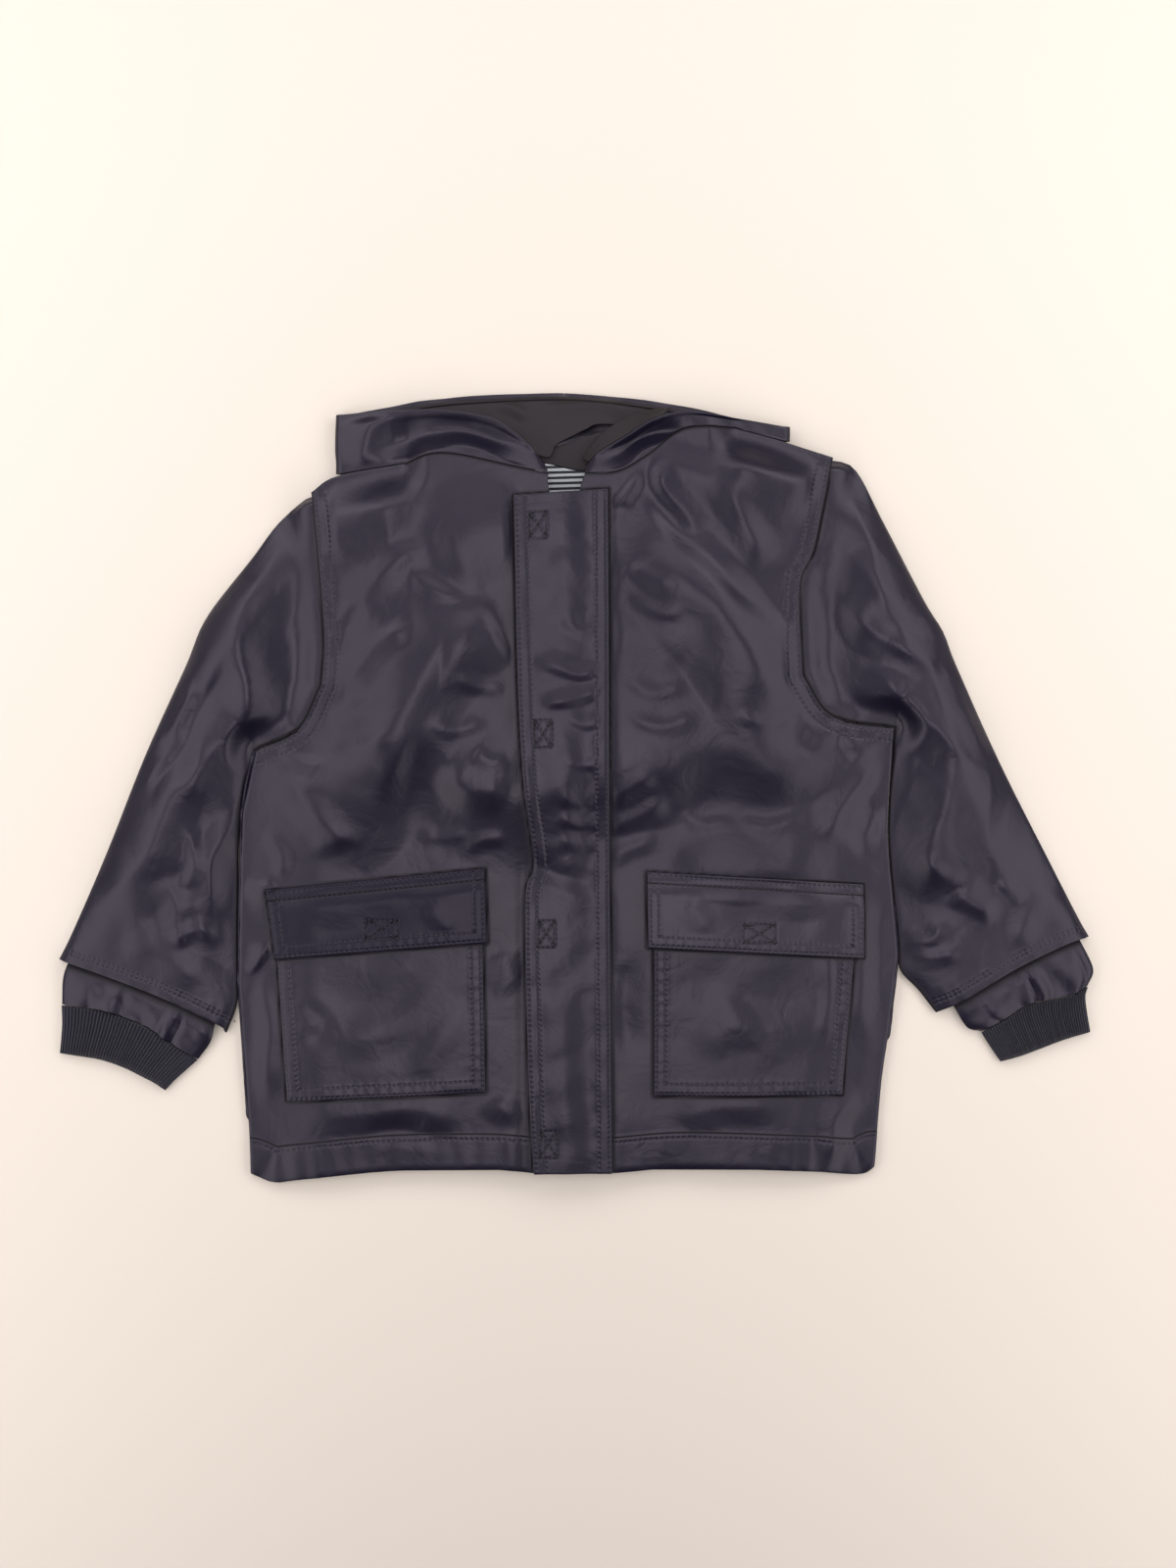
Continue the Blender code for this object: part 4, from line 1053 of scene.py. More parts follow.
POCKET_FLAP_FOLDS = {
    "right": [
        ([(-160, -80), (-130, -84), (-100, -74)], 9, 9, -0.8, 2.2),
        ([(-90, -66), (-76, -80), (-66, -88)], 8, 8, 0.7, 1.9),
    ],
    "left": [
        ([(150, -76), (120, -80), (84, -72)], 9, 9, -0.8, 2.2),
        ([(64, -64), (74, -78), (80, -88)], 8, 8, 0.7, 1.9),
    ],
}
# Painted shade: the right flap gets a duller copy of the same cloth, so that it looks darker.
POCKET_FLAP_GLOSS = {"right": 0.25, "left": 0.46}  # the right one is the duller
for side in SIDES:
    # Painted shade along the boxed stitching and along the top band's inner row.
    pocket_flap_cloth = coated_cloth(
        f"pocket_flap_cloth_{side}",
        [("edge", row) for row in POCKET_FLAP_ROWS] + [("top", row) for row in POCKET_FLAP_TOP_ROWS]
        + [("box", 0.0)],
        [("box", 0.0, 0.5), ("top", POCKET_FLAP_TOP_ROWS[1], 0.5)],
        gloss=POCKET_FLAP_GLOSS[side],
    )
    plan = quad(POCKET_FLAP[side], even(46), even(126))
    x, y = plan[..., 0], plan[..., 1]
    corners = np.array(POCKET_FLAP[side], float)
    top_line = through(corners[2:], 30)
    edge, top = near(inset(POCKET_FLAP[side], 0.0), x, y), near(top_line, x, y)
    z = front_top(side, x, y) + POCKET_FLAP_WALL + POCKET_FLAP_GAP
    z += POCKET_FLAP_LIFT * past(top[0], 1.0, 14.0)
    z += POCKET_FLAP_TOP_BAND * within(top[0], POCKET_FLAP_TOP_ROWS[1], 1.5)
    z += POCKET_FLAP_BAND * within(edge[0], POCKET_FLAP_ROWS[1] + 1.5, 1.5)
    z += folds_at(POCKET_FLAP_FOLDS[side], x, y) * past(edge[0], 5.0, 8.0)
    z += pucker(edge[1], *POCKET_FLAP_GATHERS) * within(edge[0], 10.0, 4.0) * smooth(edge[0] / 3.0)
    box = box_lines(POCKET_BOX[side], POCKET_BOX_SIZE)
    grid = at_height(plan, z)
    flap = surface(
        f"pocket_flap_cloth_{side}", grid, pocket_flap_cloth,
        seams=[("edge", *edge), ("top", *top), ("box", *nearest(box, x, y))],
    )
    # Painted shade on the front and the pocket under the flap's edges.
    outline = inset(POCKET_FLAP[side], -0.5)
    outline = np.vstack([outline, outline[:1]])
    lies_on(f"front_panel_{side}", outline)
    lies_on(f"pocket_cloth_{side}", outline)
    thicken(flap, POCKET_FLAP_WALL)
    wear(flap, "coated_cloth", f"pocket_flap_{side}")
    lines = [inset(POCKET_FLAP[side], row) for row in POCKET_FLAP_ROWS]
    down = (corners[0] - corners[2]) / np.linalg.norm(corners[0] - corners[2])
    lines += [top_line[1:-1] + down * row for row in POCKET_FLAP_TOP_ROWS]
    stitches(f"pocket_flap_stitches_{side}", grid, lines + box)

# ================================================================ sleeves
# Long sleeves set into the armholes, lying flat beside the body. The cloth slumps in soft
# diagonal folds, and the hem is turned up and sewn with two rows.
SLEEVE_OUTER = {
    "right": [
        (-155.5, 173.5), (-175.5, 156), (-191, 135.5), (-218, 100.5), (-230.5, 71.5), (-254, 19.5),
        (-277, -38.5), (-297, -85), (-305, -101.5),
    ],
    "left": [
        (151.5, 193.8), (165.5, 187), (181, 158), (206, 110), (217, 92), (225, 71.5), (251, 13.5),
        (283, -50), (297, -77.5), (303, -88),
    ],
}
SLEEVE_INNER = {
    "right": [(-189.7, 22.3), (-198.3, -15), (-199.8, -70), (-200, -114), (-200.5, -128), (-206.5, -144.5)],
    "left": [(188.7, 35.8), (184.9, -27), (190.6, -90), (192, -107), (203, -119.5), (213, -132.5)],
}
CUFF_HEM = {
    "right": [(-305, -101.5), (-277, -111), (-242, -124.5), (-211.5, -139.5), (-206.5, -144.5)],
    "left": [(303, -88), (287.5, -93), (258, -107.5), (228, -125.5), (213, -132.5)],
}
OUTER_AT_ARMPIT = 0.4
BESIDE_BODY = 0.3
TUCK = 3.0  # how far the sleeve head runs in under the armhole's edge
# Fraction of the length, height of the upper layer, radius of the folded edges, fullness.
SLEEVE_HEIGHT = np.array([
    (0.0, 6.5, 2.2, 1.5), (0.15, 8.5, 1.9, 1.5), (0.3, 12.0, 1.9, 1.5), (0.6, 12.0, 1.9, 1.5),
    (0.88, 10.2, 1.9, 2.2), (1.0, 8.4, 2.6, 7.0),
])
SLEEVE_FOLDS = {
    "right": [
        ([(-166, 156), (-180, 133), (-192, 113), (-198, 96), (-198, 75), (-194, 52), (-199, 28),
          (-208, 4)], 28, 42, 11.0, 1.0),
        ([(-236, 28), (-247, 10), (-256, -4)], 5, 6, 1.9, 0.4),
        ([(-222, 62), (-230, 44), (-242, 30)], 6, 8, 2.2, 0.4),
        ([(-229, -20), (-224, -45), (-236, -66)], 7, 6, 2.0, 0.4),
        ([(-208, -88), (-222, -84), (-238, -92)], 6, 7, 1.8, 0.5),
        ([(-230, 100), (-210, 102), (-192, 98)], 30, 12, 3.0, 1),
        ([(-218, 104), (-232, 75), (-246, 48), (-256, 22), (-258, 4)], 22, 12, 4.6, 0.8),
        ([(-204, 76), (-220, 42), (-238, 15), (-254, -18)], 18, 12, -5.2, 0.8),
        ([(-219, 46), (-222, 10), (-232, 0), (-242, -18), (-253, -41), (-269, -59), (-296, -82)],
         24, 34, 8.6, 2),
        ([(-199, 18), (-203, -22), (-213, -42), (-216, -62), (-211, -86)], 13, 18, 6.0, 1),
        ([(-241, -52), (-235, -70), (-231, -98)], 8, 12, 3.0, 0.6),
        ([(-230, -60), (-221, -80), (-212, -96)], 10, 10, 2.4, 1),
        ([(-270, -90), (-244, -101), (-218, -114)], 18, 12, 1.8, 3),
    ],
    "left": [
        ([(153, 184), (151, 150), (147, 112), (140, 96)], 14, 9, 2.2, 0.8),
        ([(160, 184), (172, 146), (179, 118), (183, 86)], 42, 28, 11.0, 1),
        ([(168, 150), (178, 141), (192, 132)], 6, 8, 1.8, 0.4),
        ([(176, 66), (192, 52), (204, 34)], 7, 6, 1.9, 0.4),
        ([(225, 48), (236, 30), (246, 12)], 6, 7, 1.8, 0.4),
        ([(203, -40), (216, -52), (229, -56)], 6, 7, 2.0, 0.4),
        ([(196, -101), (210, -101), (227, -96)], 5, 7, 1.7, 0.4),
        ([(150, 110), (168, 96), (184, 83), (196, 77), (220, 67)], 16, 12, 5.6, 0.8),
        ([(182, 82), (200, 90), (220, 100)], 22, 12, 3.0, 0.8),
        ([(152, 64), (184, 55), (200, 42), (220, 28), (248, 0)], 30, 20, 8.0, 0.8),
        ([(210, 88), (224, 60), (232, 40), (246, 4)], 14, 14, 2.4, 1),
        ([(244, 16), (242, -15), (243, -36), (254, -58)], 24, 20, 4.2, 0.8),
        ([(228, 22), (217, -10), (211, -30), (208, -70)], 32, 20, 8.0, 3),
        ([(219, -59), (232, -68), (247, -78)], 14, 7, 3.0, 0.6),
        ([(247, -54), (256, -60), (265, -70)], 7, 6, 1.8, 0.6),
        ([(187, -93), (204, -92), (212, -88), (220, -75)], 8, 10, 2.6, 0.8),
        ([(256, -94), (270, -74), (290, -56)], 12, 10, 2.0, 2),
    ],
}
SLEEVE_FOLD_DEPTH = 0.78
SLEEVE_LEAN = 0.4  # how far the crown lies from the middle, towards the outer edge
SLEEVE_LEAST = 0.5  # how far the upper layer stays above its folded edges
SLEEVE_WAVES = (0.3, 30.0, 41)
CUFF_GATHERS = (0.4, 9.0, 6.0)
CUFF_BAND = 0.4
SET_IN_GAP = 0.9  # between the sleeve head and the front that lies over it
SET_IN_REACH = 18.0
EDGE_SHARE = 0.12  # how much of a tube's height its tight edges give
CUFF_ROWS = (5.0, 7.2)


def crowded(steps):
    """Places across a flattened tube, -1 to 1, close together at its folded edges."""
    return -np.cos(np.pi * even(steps))


def arch(places, power=2):
    """1 in the middle of a flattened tube and 0 at its folded edges: sqrt(1 - place^power)."""
    return np.sqrt(1 - places[None, :] ** power)


def flattened(plan, top, fold, sewn=0):
    """Rings of a tube that lies flat on the table, from the upper layer's plan and heights.

    The lower layer rests on the table, and its last fold millimetres curl up to the upper one:
    z = fold - sqrt(fold^2 - (fold - distance to the edge)^2). In the first sewn rows the upper
    layer's last column keeps its height, where it is sewn to another panel.
    """
    from_first = np.linalg.norm(plan - plan[:, :1], axis=2)
    from_last = np.linalg.norm(plan - plan[:, -1:], axis=2)
    close = np.minimum(from_first, from_last)
    radius = np.broadcast_to(np.asarray(fold, float).reshape(-1, 1), close.shape)
    inside = np.clip(radius - close, 0.0, radius)
    low = radius - np.sqrt(radius**2 - inside**2)
    upper = np.dstack([plan, top])
    upper[:, 0, 2] = low[:, 0]
    upper[sewn:, -1, 2] = low[sewn:, -1]
    return np.concatenate([upper, np.dstack([plan, low])[:, -2:0:-1]], axis=1)


def rounded(places, fold, height, full, lean=0.0):
    """The upper layer's height across a flattened tube: a tight turn, then a gentle swell.

    fold + rise * (0.12 sqrt(1 - |w|^40) + 0.88 (1 - |u|^full)), where w runs from -1 to 1 and u
    from -1 to 1 too, with its zero, the crown, moved from the middle by lean.
    """
    w = np.abs(places)
    off_crown = places + lean
    u = np.abs(off_crown) / (1.0 + lean * np.sign(off_crown))
    turned = np.sqrt(np.clip(1.0 - w**40, 0.0, 1.0))
    return fold + (height - fold) * (EDGE_SHARE * turned + (1.0 - EDGE_SHARE) * (1.0 - u**full))


def both_layers(values):
    """An upper layer's values, carried on to the lower layer's columns."""
    return np.concatenate([values, values[:, -2:0:-1]], axis=1)


# Painted shade where the sleeve runs in under the armhole's edge and beside the body.
sleeve_cloth = coated_cloth(
    "sleeve_cloth", [("hem", row) for row in CUFF_ROWS], [("beside", 0.0, 1.5)]
)
for side in SIDES:
    places = crowded(84)
    armhole = along(UNDERARM_TO_SHOULDER[side], (places + 1) / 2)[::-1] - (SIGN[side] * TUCK, 0.0)
    underarm = along(ARMPIT_TO_UNDERARM[side], even(24))[::-1]
    underarm += np.linspace(-TUCK, 0.6, 25)[:, None] * np.array([SIGN[side], 0.0])
    inner = joined(underarm, along(SLEEVE_INNER[side], even(136)) - (SIGN[side] * BESIDE_BODY, 0.4))
    past_armpit = OUTER_AT_ARMPIT + (1 - OUTER_AT_ARMPIT) * even(136)
    outer_places = np.concatenate([OUTER_AT_ARMPIT * even(24), past_armpit[1:]])
    outer = along(SLEEVE_OUTER[side], outer_places)
    outer[0] = armhole[0]
    cuff = along(CUFF_HEM[side], (places + 1) / 2)
    plan = patch(outer, inner, armhole, cuff)
    x, y = plan[..., 0], plan[..., 1]
    crown, fold, full = (column(SLEEVE_HEIGHT, outer_places, number)[:, None] for number in (1, 2, 3))
    top = rounded(places[None, :], fold, crown, full, SLEEVE_LEAN)
    folds = SLEEVE_FOLD_DEPTH * folds_at(SLEEVE_FOLDS[side], x, y) + waves(x, y, *SLEEVE_WAVES)
    top += folds * arch(places)
    top = np.maximum(top, fold + SLEEVE_LEAST + 0.12 * np.maximum(top, 0.0))
    seam = armhole_line(side)
    set_in = near(seam, x, y)
    edge_height = front_top(side, *seam.T)
    tucked = np.interp(set_in[1], run_length(seam), edge_height) - WALL - SET_IN_GAP
    below_tip = smooth((outer_places[:, None] + places[None, :] + 1.0) / 0.1)
    at_seam = within(set_in[0], SET_IN_REACH, 15.0) * below_tip
    top += (np.maximum(tucked, fold + 0.6) - top) * at_seam
    hem = near(cuff, x, y)
    gathers = pucker(hem[1], *CUFF_GATHERS) * within(hem[0], 16.0, 8.0)
    top += (CUFF_BAND * within(hem[0], 8.6, 1.4) + gathers) * arch(places)
    rings = flattened(plan, top, fold, sewn=len(underarm))
    beside = np.minimum(set_in[0], near(inner, x, y)[0])
    sleeve = surface(
        f"sleeve_cloth_{side}", rings, sleeve_cloth, tube=True,
        seams=[
            ("hem", both_layers(hem[0]), both_layers(hem[1])),
            ("beside", both_layers(beside), both_layers(set_in[1])),
        ],
    )
    thicken(sleeve, WALL)
    wear(sleeve, "coated_cloth", f"sleeve_{side}")
    lines = [moved(cuff, -SIGN[side] * row)[5:-5] for row in CUFF_ROWS]
    stitches(f"sleeve_stitches_{side}", at_height(plan, top), lines)

# ================================================================ gathered inner cuffs
# Inside each sleeve's hem a second, narrower end of the same cloth is gathered on to the
# wristband, in five or six soft lobes.
STORM_OUTER = {
    "right": [(-293, -89), (-298, -100), (-302.5, -112), (-303.5, -128)],
    "left": [(293, -80), (297.5, -90), (305.5, -107), (302.5, -117)],
}
STORM_INNER = {
    "right": [(-210, -133), (-213, -140), (-215.5, -150), (-223, -160.5)],
    "left": [(218, -121), (223, -129), (231, -141.5), (239.5, -144)],
}
RIB_SEAM = {
    "right": [(-303.5, -128), (-277, -132), (-253.5, -141), (-242, -149), (-223, -160.5)],
    "left": [(302.5, -117), (291, -122.5), (268, -127.5), (254, -136), (239.5, -144)],
}
INNER_CUFF_HEIGHT = 5.6
INNER_CUFF_FOLD = 2.6
INNER_CUFF_FULL = 9.0
INNER_CUFF_WALL = 1.0
GATHERS, GATHER_DEPTH = 6, 2.8
INNER_CUFF_WAVES = (0.8, 22.0, 51)
# Fraction of its length, lift off the table, height.
INNER_CUFF_ROWS = np.array([
    (0.0, 1.9, 4.6), (0.5, 1.7, INNER_CUFF_HEIGHT), (1.0, 0.0, INNER_CUFF_HEIGHT)
])
# Painted shadow across the top of the inner cuff, under the sleeve's hem.
cuff_cloth = coated_cloth("cuff_cloth", creases=[("outline", 0.0, 3.6)])
for side in SIDES:
    places = crowded(72)
    down = even(36)
    outer, inner = along(STORM_OUTER[side], down), along(STORM_INNER[side], down)
    seam = along(RIB_SEAM[side], (places + 1) / 2)
    inside = along([outer[0], inner[0]], (places + 1) / 2)
    outer[-1], inner[-1] = seam[0], seam[-1]
    plan = patch(outer, inner, inside, seam)
    lift, tall = (column(INNER_CUFF_ROWS, down, number)[:, None] for number in (1, 2))
    turn = np.pi * GATHERS * (places + 1) / 2 + 1.3 * np.sin(3.1 * places + SIGN[side])
    lobes = np.abs(np.sin(turn)) ** 0.6 - 0.6
    uneven = 0.6 + 0.4 * np.sin(7.0 * places + 2.0 * SIGN[side])
    slant = smooth((down[:, None] - 0.25 - 0.25 * np.sin(9.0 * places[None, :])) / 0.6)
    gather = lobes[None, :] * GATHER_DEPTH * uneven[None, :] * slant * arch(places)
    top = rounded(places[None, :], INNER_CUFF_FOLD, tall, INNER_CUFF_FULL) + gather
    top += waves(plan[..., 0], plan[..., 1], *INNER_CUFF_WAVES) * arch(places)
    rings = flattened(plan, top, INNER_CUFF_FOLD)
    rings[..., 2] += lift
    cuff = surface(
        f"inner_cuff_{side}", rings, cuff_cloth, tube=True, seams=[no_outline(rings[..., 0])]
    )
    # Painted shadow on the inner cuff under the sleeve's hem.
    lies_on(f"inner_cuff_{side}", along(CUFF_HEM[side], even(40)))
    thicken(cuff, INNER_CUFF_WALL)
    wear(cuff, "coated_cloth", f"storm_cuff_{side}")

# ================================================================ ribbed wristbands
# A tube of matt navy rib knit at each wrist, its ribs running down the arm, with a folded edge.
RIB_OUTER = {
    "right": [(-303.3, -129), (-303.3, -141), (-304.8, -157)],
    "left": [(302.3, -118), (301, -125), (304, -144.5)],
}
RIB_INNER = {
    "right": [(-224, -161), (-237, -173), (-242.5, -179)],
    "left": [(240, -145), (244.5, -152.5), (251, -162)],
}
RIB_HEM = {
    "right": [(-304.8, -157), (-277, -162), (-253, -172.5), (-242.5, -179)],
    "left": [(304, -144.5), (287.5, -149.5), (265, -158), (251, -162)],
}
RIB_COUNT = 42
RIB_DEPTH = 0.95
RIB_WAVES = (0.5, 26.0, 61)
RIB_WALL = 1.4
RIB_CROWDING = 0.35  # how far its points crowd to its folded edges
RIB_COLOUR, RIB_ROUGH = (0.0165, 0.0140, 0.0250), 0.9
rib_knit, tree, shader = finish(
    "rib_knit", RIB_COLOUR, RIB_ROUGH,
    {"Specular IOR Level": 0.25, "Sheen Weight": 0.15, "Sheen Roughness": 0.5},
)
place = put(tree, "TexCoord").outputs["Object"]
fuzz = put(tree, "TexNoise", {"Vector": place, "Scale": 1600.0, "Detail": 2.0})
emboss(tree, shader, fuzz.outputs[0], 0.0004)
for side in SIDES:
    steps = RIB_COUNT * 5
    places = crowded(steps) * RIB_CROWDING + (2 * even(steps) - 1) * (1 - RIB_CROWDING)
    down = even(18)
    outer, inner = along(RIB_OUTER[side], down), along(RIB_INNER[side], down)
    start = along(RIB_SEAM[side], (places + 1) / 2)
    start += (outer[0] + inner[0] - start[0] - start[-1]) / 2
    start[0], start[-1] = outer[0], inner[0]
    plan = patch(outer, inner, start, along(RIB_HEM[side], (places + 1) / 2))
    ribs = RIB_DEPTH * np.cos(2 * np.pi * RIB_COUNT * (places + 1) / 2)[None, :] * arch(places, 4)
    edge_roll = 1.0 - 0.5 * past(down[:, None], 0.9, 0.1)
    bow = waves(plan[..., 0], plan[..., 1], *RIB_WAVES) * arch(places)
    top = rounded(places[None, :], INNER_CUFF_FOLD, INNER_CUFF_HEIGHT * edge_roll, INNER_CUFF_FULL)
    rings = flattened(plan, top + bow + ribs * edge_roll, INNER_CUFF_FOLD)
    band = surface(f"rib_band_{side}", rings, rib_knit, tube=True)
    thicken(band, RIB_WALL)
    wear(band, "rib_knit", f"rib_cuff_{side}")

# ================================================================ hood
# Two halves of the same cloth, sewn together over the crown. Each rises off the neck seam, turns
# over its rim, folds round at its outer corner, and lies on the table with the crown tucked away
# under the back of the coat.
HOOD_SEAM_X = -7.0
CROWN_SWELL = (205.0, 185.0)  # y where the crown's stack starts and where it is full
CROWN_ROUND = 0.16
CORNER_TURN = 75.0  # degrees, either side of level, that the outer corner's fold turns through
HOOD_ROUNDING = 0.4
HOOD_WAVES = (0.3, 26.0, 71)
CROWN_WAVES = (0.9, 30.0, 73)
HOOD_MOUTH = {  # x, y, height of the mouth's edge on the upper layer, centre to corner
    "right": [
        (-18.5, 190.5, 17), (-27, 200, 18), (-36, 208, 19), (-50.5, 216.5, 19.5), (-80, 221, 18),
        (-110, 221, 13), (-137.5, 219.5, 8),
    ],
    "left": [
        (7.5, 190.5, 17), (15, 197, 18), (30, 206, 19), (45.5, 215.5, 19.5), (65, 220, 18),
        (95, 216.5, 13), (122.5, 212.5, 8),
    ],
}
HOOD_CORNER_LOW = {"right": (-137.5, 184.5, 8), "left": (122.5, 203.8, 8)}
HOOD_MOUTH_TABLE = {  # x, y of the mouth's edge on the lower layer, corner to centre
    "right": [(-137.5, 219.8), (-85, 229), (-45, 232), (-7, 233)],
    "left": [(122.5, 212.5), (95, 218), (65, 225), (30, 230), (-7, 233)],
}
HOOD_FOLDS = {
    "right": [
        ([(-126, 190), (-112, 200), (-92, 207), (-62, 209), (-40, 202), (-24, 189)], 12, 9, -6.6, 2.5),
        ([(-122, 224), (-122, 206), (-127, 186)], 13, 17, 3.6, 1.2),
    ],
    "left": [
        ([(9, 186), (24, 197), (44, 205), (70, 211), (104, 210)], 10, 7, -7.0, 1.4),
    ],
}


def shell(name, outer, inner, material):
    """A closed layer between two grids of points, joined all round their edges."""
    size = outer[..., 0].size
    number = np.arange(size).reshape(outer.shape[:2])
    top = grid_faces(number)
    ring = np.concatenate([number[0], number[1:, -1], number[-1, -2::-1], number[-2:0:-1, 0]])
    after = np.roll(ring, -1)
    side_faces = np.stack([after, ring, ring + size, after + size], axis=-1)
    faces = np.concatenate([top, top[:, ::-1] + size, side_faces])
    made = mesh_object(name, np.stack([outer, inner]), faces.tolist(), material)
    work = bmesh.new()
    work.from_mesh(made.data)
    bmesh.ops.recalc_face_normals(work, faces=work.faces)
    work.to_mesh(made.data)
    work.free()
    round_edges(made, HOOD_ROUNDING)
    return made


for side in SIDES:
    out = SIGN[side]
    neck = along(NECK_TO_CENTRE[side], even(60))[::-1]
    neck_height = front_top(side, neck[:, 0], neck[:, 1])
    corner = np.array(HOOD_CORNER_LOW[side], float)
    neck_point = np.append(neck[-1], neck_height[-1])
    to_corner = neck_point + (corner - neck_point) * even(24)[1:, None]
    lower_edge = np.vstack([np.column_stack([neck, neck_height]), to_corner])
    lower_edge[:, 1] += 0.4
    mouth = along(HOOD_MOUTH[side], fractions_of(lower_edge[:, :2]))
    upper = between(mouth, lower_edge, 30)
    x, y = upper[..., 0], upper[..., 1]
    down = even(30)[:, None]
    held_edges = smooth(down / 0.22) * smooth((1 - down) / 0.15)
    upper[..., 2] += folds_at(HOOD_FOLDS[side], x, y) * held_edges
    upper[..., 2] += waves(x, y, *HOOD_WAVES) * held_edges
    under = upper - np.array([0.0, 0.0, WALL])

    edge = upper[:, -1]
    turn = np.radians(np.linspace(CORNER_TURN, -CORNER_TURN, 11))
    radius = edge[:, 2:] / 2
    fold_out = np.repeat(edge[:, None], len(turn), axis=1)
    fold_in = fold_out.copy()
    for fold, reach in ((fold_out, radius), (fold_in, radius - WALL)):
        fold[..., 0] += out * reach * np.cos(turn)
        fold[..., 2] = radius + reach * np.sin(turn)

    rim = along(HOOD_MOUTH_TABLE[side], even(60))
    rim[0] = edge[0, :2]
    rim[-1, 0] = HOOD_SEAM_X + out * 0.15
    angle = math.pi / 2 * even(60)
    crown_edge = np.column_stack([
        out * CROWN_HALF_WIDTH * np.cos(angle), CROWN_TOP_Y - CROWN_DEPTH * np.sin(angle)
    ])
    crown_edge[0] = edge[-1, :2]
    crown_edge[-1, 0] = rim[-1, 0]
    floor_plan = between(rim, crown_edge, 30)
    floor_plan[:, 0] = edge[:, :2]
    x, y = floor_plan[..., 0], floor_plan[..., 1]
    hidden = within(y, CROWN_SWELL[0], CROWN_SWELL[0] - CROWN_SWELL[1])
    hidden = hidden * within(crown_reach(x, y), 1.0, CROWN_ROUND)
    slack = (waves(x, y, *CROWN_WAVES) + CROWN_WAVES[0]) * past(y, 196.0, 8.0)
    slack *= smooth(np.abs(x - HOOD_SEAM_X) / 4.0)
    slack *= past(fractions_of(rim)[None, :], 0.02, 0.1)
    stack = WALL + (CROWN_THICK - WALL) * hidden + slack
    hood = shell(
        f"hood_half_{side}",
        np.concatenate([upper, fold_out, at_height(floor_plan, 0.0)], axis=1),
        np.concatenate([under, fold_in, at_height(floor_plan, stack)], axis=1),
        cloth,
    )
    wear(hood, "coated_cloth", f"hood_side_{side}")

# ================================================================ hood facing
# A strip of browner, duller cloth lines the hood's mouth. It lies on the hood's inner face, and
# its free edge stands up off it in the middle.
FACING_COLOUR = (0.0115, 0.0090, 0.0096)
FACING_ROUGH = 0.55
FACING_GLOSS = 0.3
FACING_WALL = 0.9
FACING_WAVES = (0.4, 22.0, 81)
FACING_ON_HOOD = WALL + 2.2  # the height it lies at along the hood's rim
FACING_TOP = [
    (-126, 218), (-85, 226.5), (-45, 229.5), (-7, 230.5), (30, 227.5), (65, 222), (95, 216), (112, 213)
]
FACING_FREE = [  # x, y, height
    (-118, 214, 1.9), (-80, 206, 3.0), (-44, 204, 8.0), (-17.5, 194, 10.2), (-12, 201, 10.6),
    (-4, 205.5, 10.6), (6, 210.5, 10.4), (15, 213.8, 8.8), (45, 212, 3.6), (80, 211, 2.2), (108, 210, 1.9),
]
FACING_BOW = 0.6
EDGE_FACING_REACH = 0.42
EDGE_FACING_FREE = [(3.5, 193, 12.5), (9, 201, 13), (20.5, 212, 13.5), (38, 220, 14), (56, 223.5, 14)]
FACING_FOLDS = [
    ([(-46, 232), (-38, 224), (-26, 214)], 6, 5, 2.0, 0.6),
    ([(-112, 216), (-80, 217), (-50, 220)], 7, 9, 2.0, 1.0),
    ([(-20, 224), (10, 226), (34, 222)], 8, 6, 1.8, 1.0),
    ([(50, 219), (74, 216), (100, 214)], 5, 5, 1.2, 0.8),
]
# Painted shade along the seam at the hood's rim.
facing_cloth = coated_cloth(
    "facing_cloth", creases=[("rim", 2.2, 0.5)],
    colour=FACING_COLOUR, rough=FACING_ROUGH, gloss=FACING_GLOSS,
)
free = along(FACING_FREE, even(140))
plan = between(along(FACING_TOP, even(140)), free[:, :2], 24)
x, y = plan[..., 0], plan[..., 1]
rise = even(24)[:, None] ** FACING_BOW
z = FACING_ON_HOOD + (np.maximum(free[:, 2], FACING_ON_HOOD + 0.4) - FACING_ON_HOOD) * rise + 1.0
z += waves(x, y, *FACING_WAVES) * rise
z += folds_at(FACING_FOLDS, x, y) * smooth(even(24)[:, None] / 0.2)
rim = near(along(FACING_TOP, even(60)), x, y)
facing = surface("hood_facing_cloth", at_height(plan, z), facing_cloth, seams=[("rim", *rim)])
thicken(facing, FACING_WALL)
wear(facing, "facing_cloth", "hood_facing")

rim = along(HOOD_MOUTH["left"], EDGE_FACING_REACH * even(60)) + np.array([-0.4, 0.4, -0.4])
face = between(rim, along(EDGE_FACING_FREE, even(60)), 10)
edge_facing = surface("edge_facing_cloth", face, facing_cloth)
thicken(edge_facing, FACING_WALL)
wear(edge_facing, "facing_cloth", "hood_edge_facing")

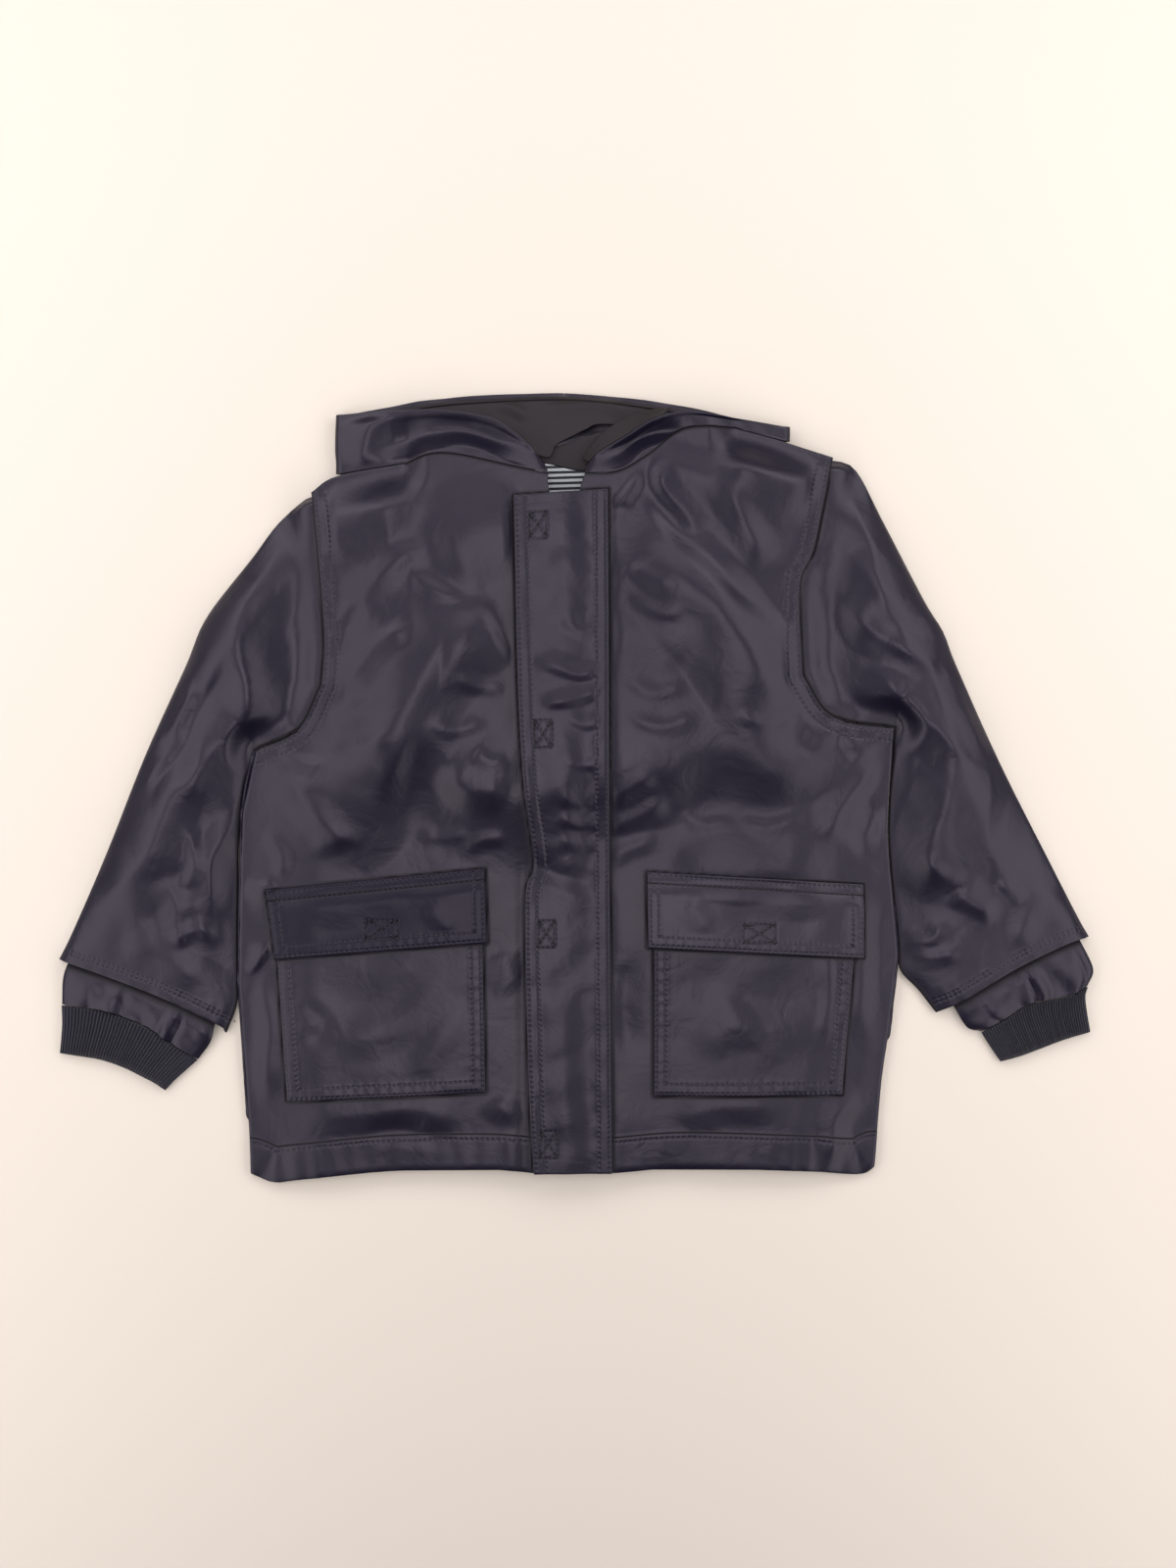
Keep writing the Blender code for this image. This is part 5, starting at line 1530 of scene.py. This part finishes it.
# ================================================================ neck facing and lining
# Inside the neck a brown facing meets the jersey lining, knitted in fine navy and white stripes.
NECK_FACING_TOP = [(-24, 197), (-10, 201), (8, 207), (24, 211), (50, 213)]
NECK_FACING_LOW = [(-24, 190.5), (-16, 190.5), (2, 186.5), (20, 188), (50, 196)]
NECK_LIFT = 1.5  # of the facing's and the lining's outer faces over the back
LINING_LOW_Y = 122.0
LINING_WALL, LINING_ROUGH = 0.8, 0.9
STRIPE_PITCH = 3.2
STRIPE_WHITE, STRIPE_BLUR = 0.5, 0.04
STRIPE_TURN = -0.03
NAVY, WHITE = (0.012, 0.012, 0.02, 1.0), (0.42, 0.43, 0.45, 1.0)


def over_back(plan):
    """The plan's points, lying over the back inside the neck."""
    return at_height(plan, back_lift(plan[..., 0], plan[..., 1]) + WALL + NECK_LIFT)


hem = along(NECK_FACING_LOW, even(60))
plan = between(along(NECK_FACING_TOP, even(60)), hem, 10)
neck_facing = surface("neck_facing_cloth", over_back(plan), facing_cloth)
thicken(neck_facing, FACING_WALL)
wear(neck_facing, "facing_cloth", "neck_facing")

striped_jersey, tree, shader = finish("striped_jersey", WHITE[:3], LINING_ROUGH)
place = put(tree, "TexCoord").outputs["Object"]
parts = put(tree, "SeparateXYZ", {0: place}).outputs
tilt = maths(tree, "MULTIPLY_ADD", parts[0], STRIPE_TURN, parts[1])
turns = maths(tree, "FRACT", maths(tree, "MULTIPLY", tilt, 1.0 / (STRIPE_PITCH * MM)))
from_middle = maths(tree, "ABSOLUTE", maths(tree, "SUBTRACT", turns, 0.5))
low, high = STRIPE_WHITE / 2 - STRIPE_BLUR, STRIPE_WHITE / 2 + STRIPE_BLUR
edge = put(tree, "MapRange", {0: from_middle, 1: low, 2: high})
two_colours(tree, shader, edge.outputs[0], WHITE, NAVY)
knit = put(tree, "TexNoise", {"Vector": place, "Scale": 1500.0})
emboss(tree, shader, knit.outputs[0], 0.0002)
top = hem - np.array([0.0, 0.3])
low = np.column_stack([top[:, 0], np.full(len(top), LINING_LOW_Y)])
lining = surface("neck_lining_cloth", over_back(between(top, low, 50)), striped_jersey)
thicken(lining, LINING_WALL)
wear(lining, "striped_jersey", "neck_lining")
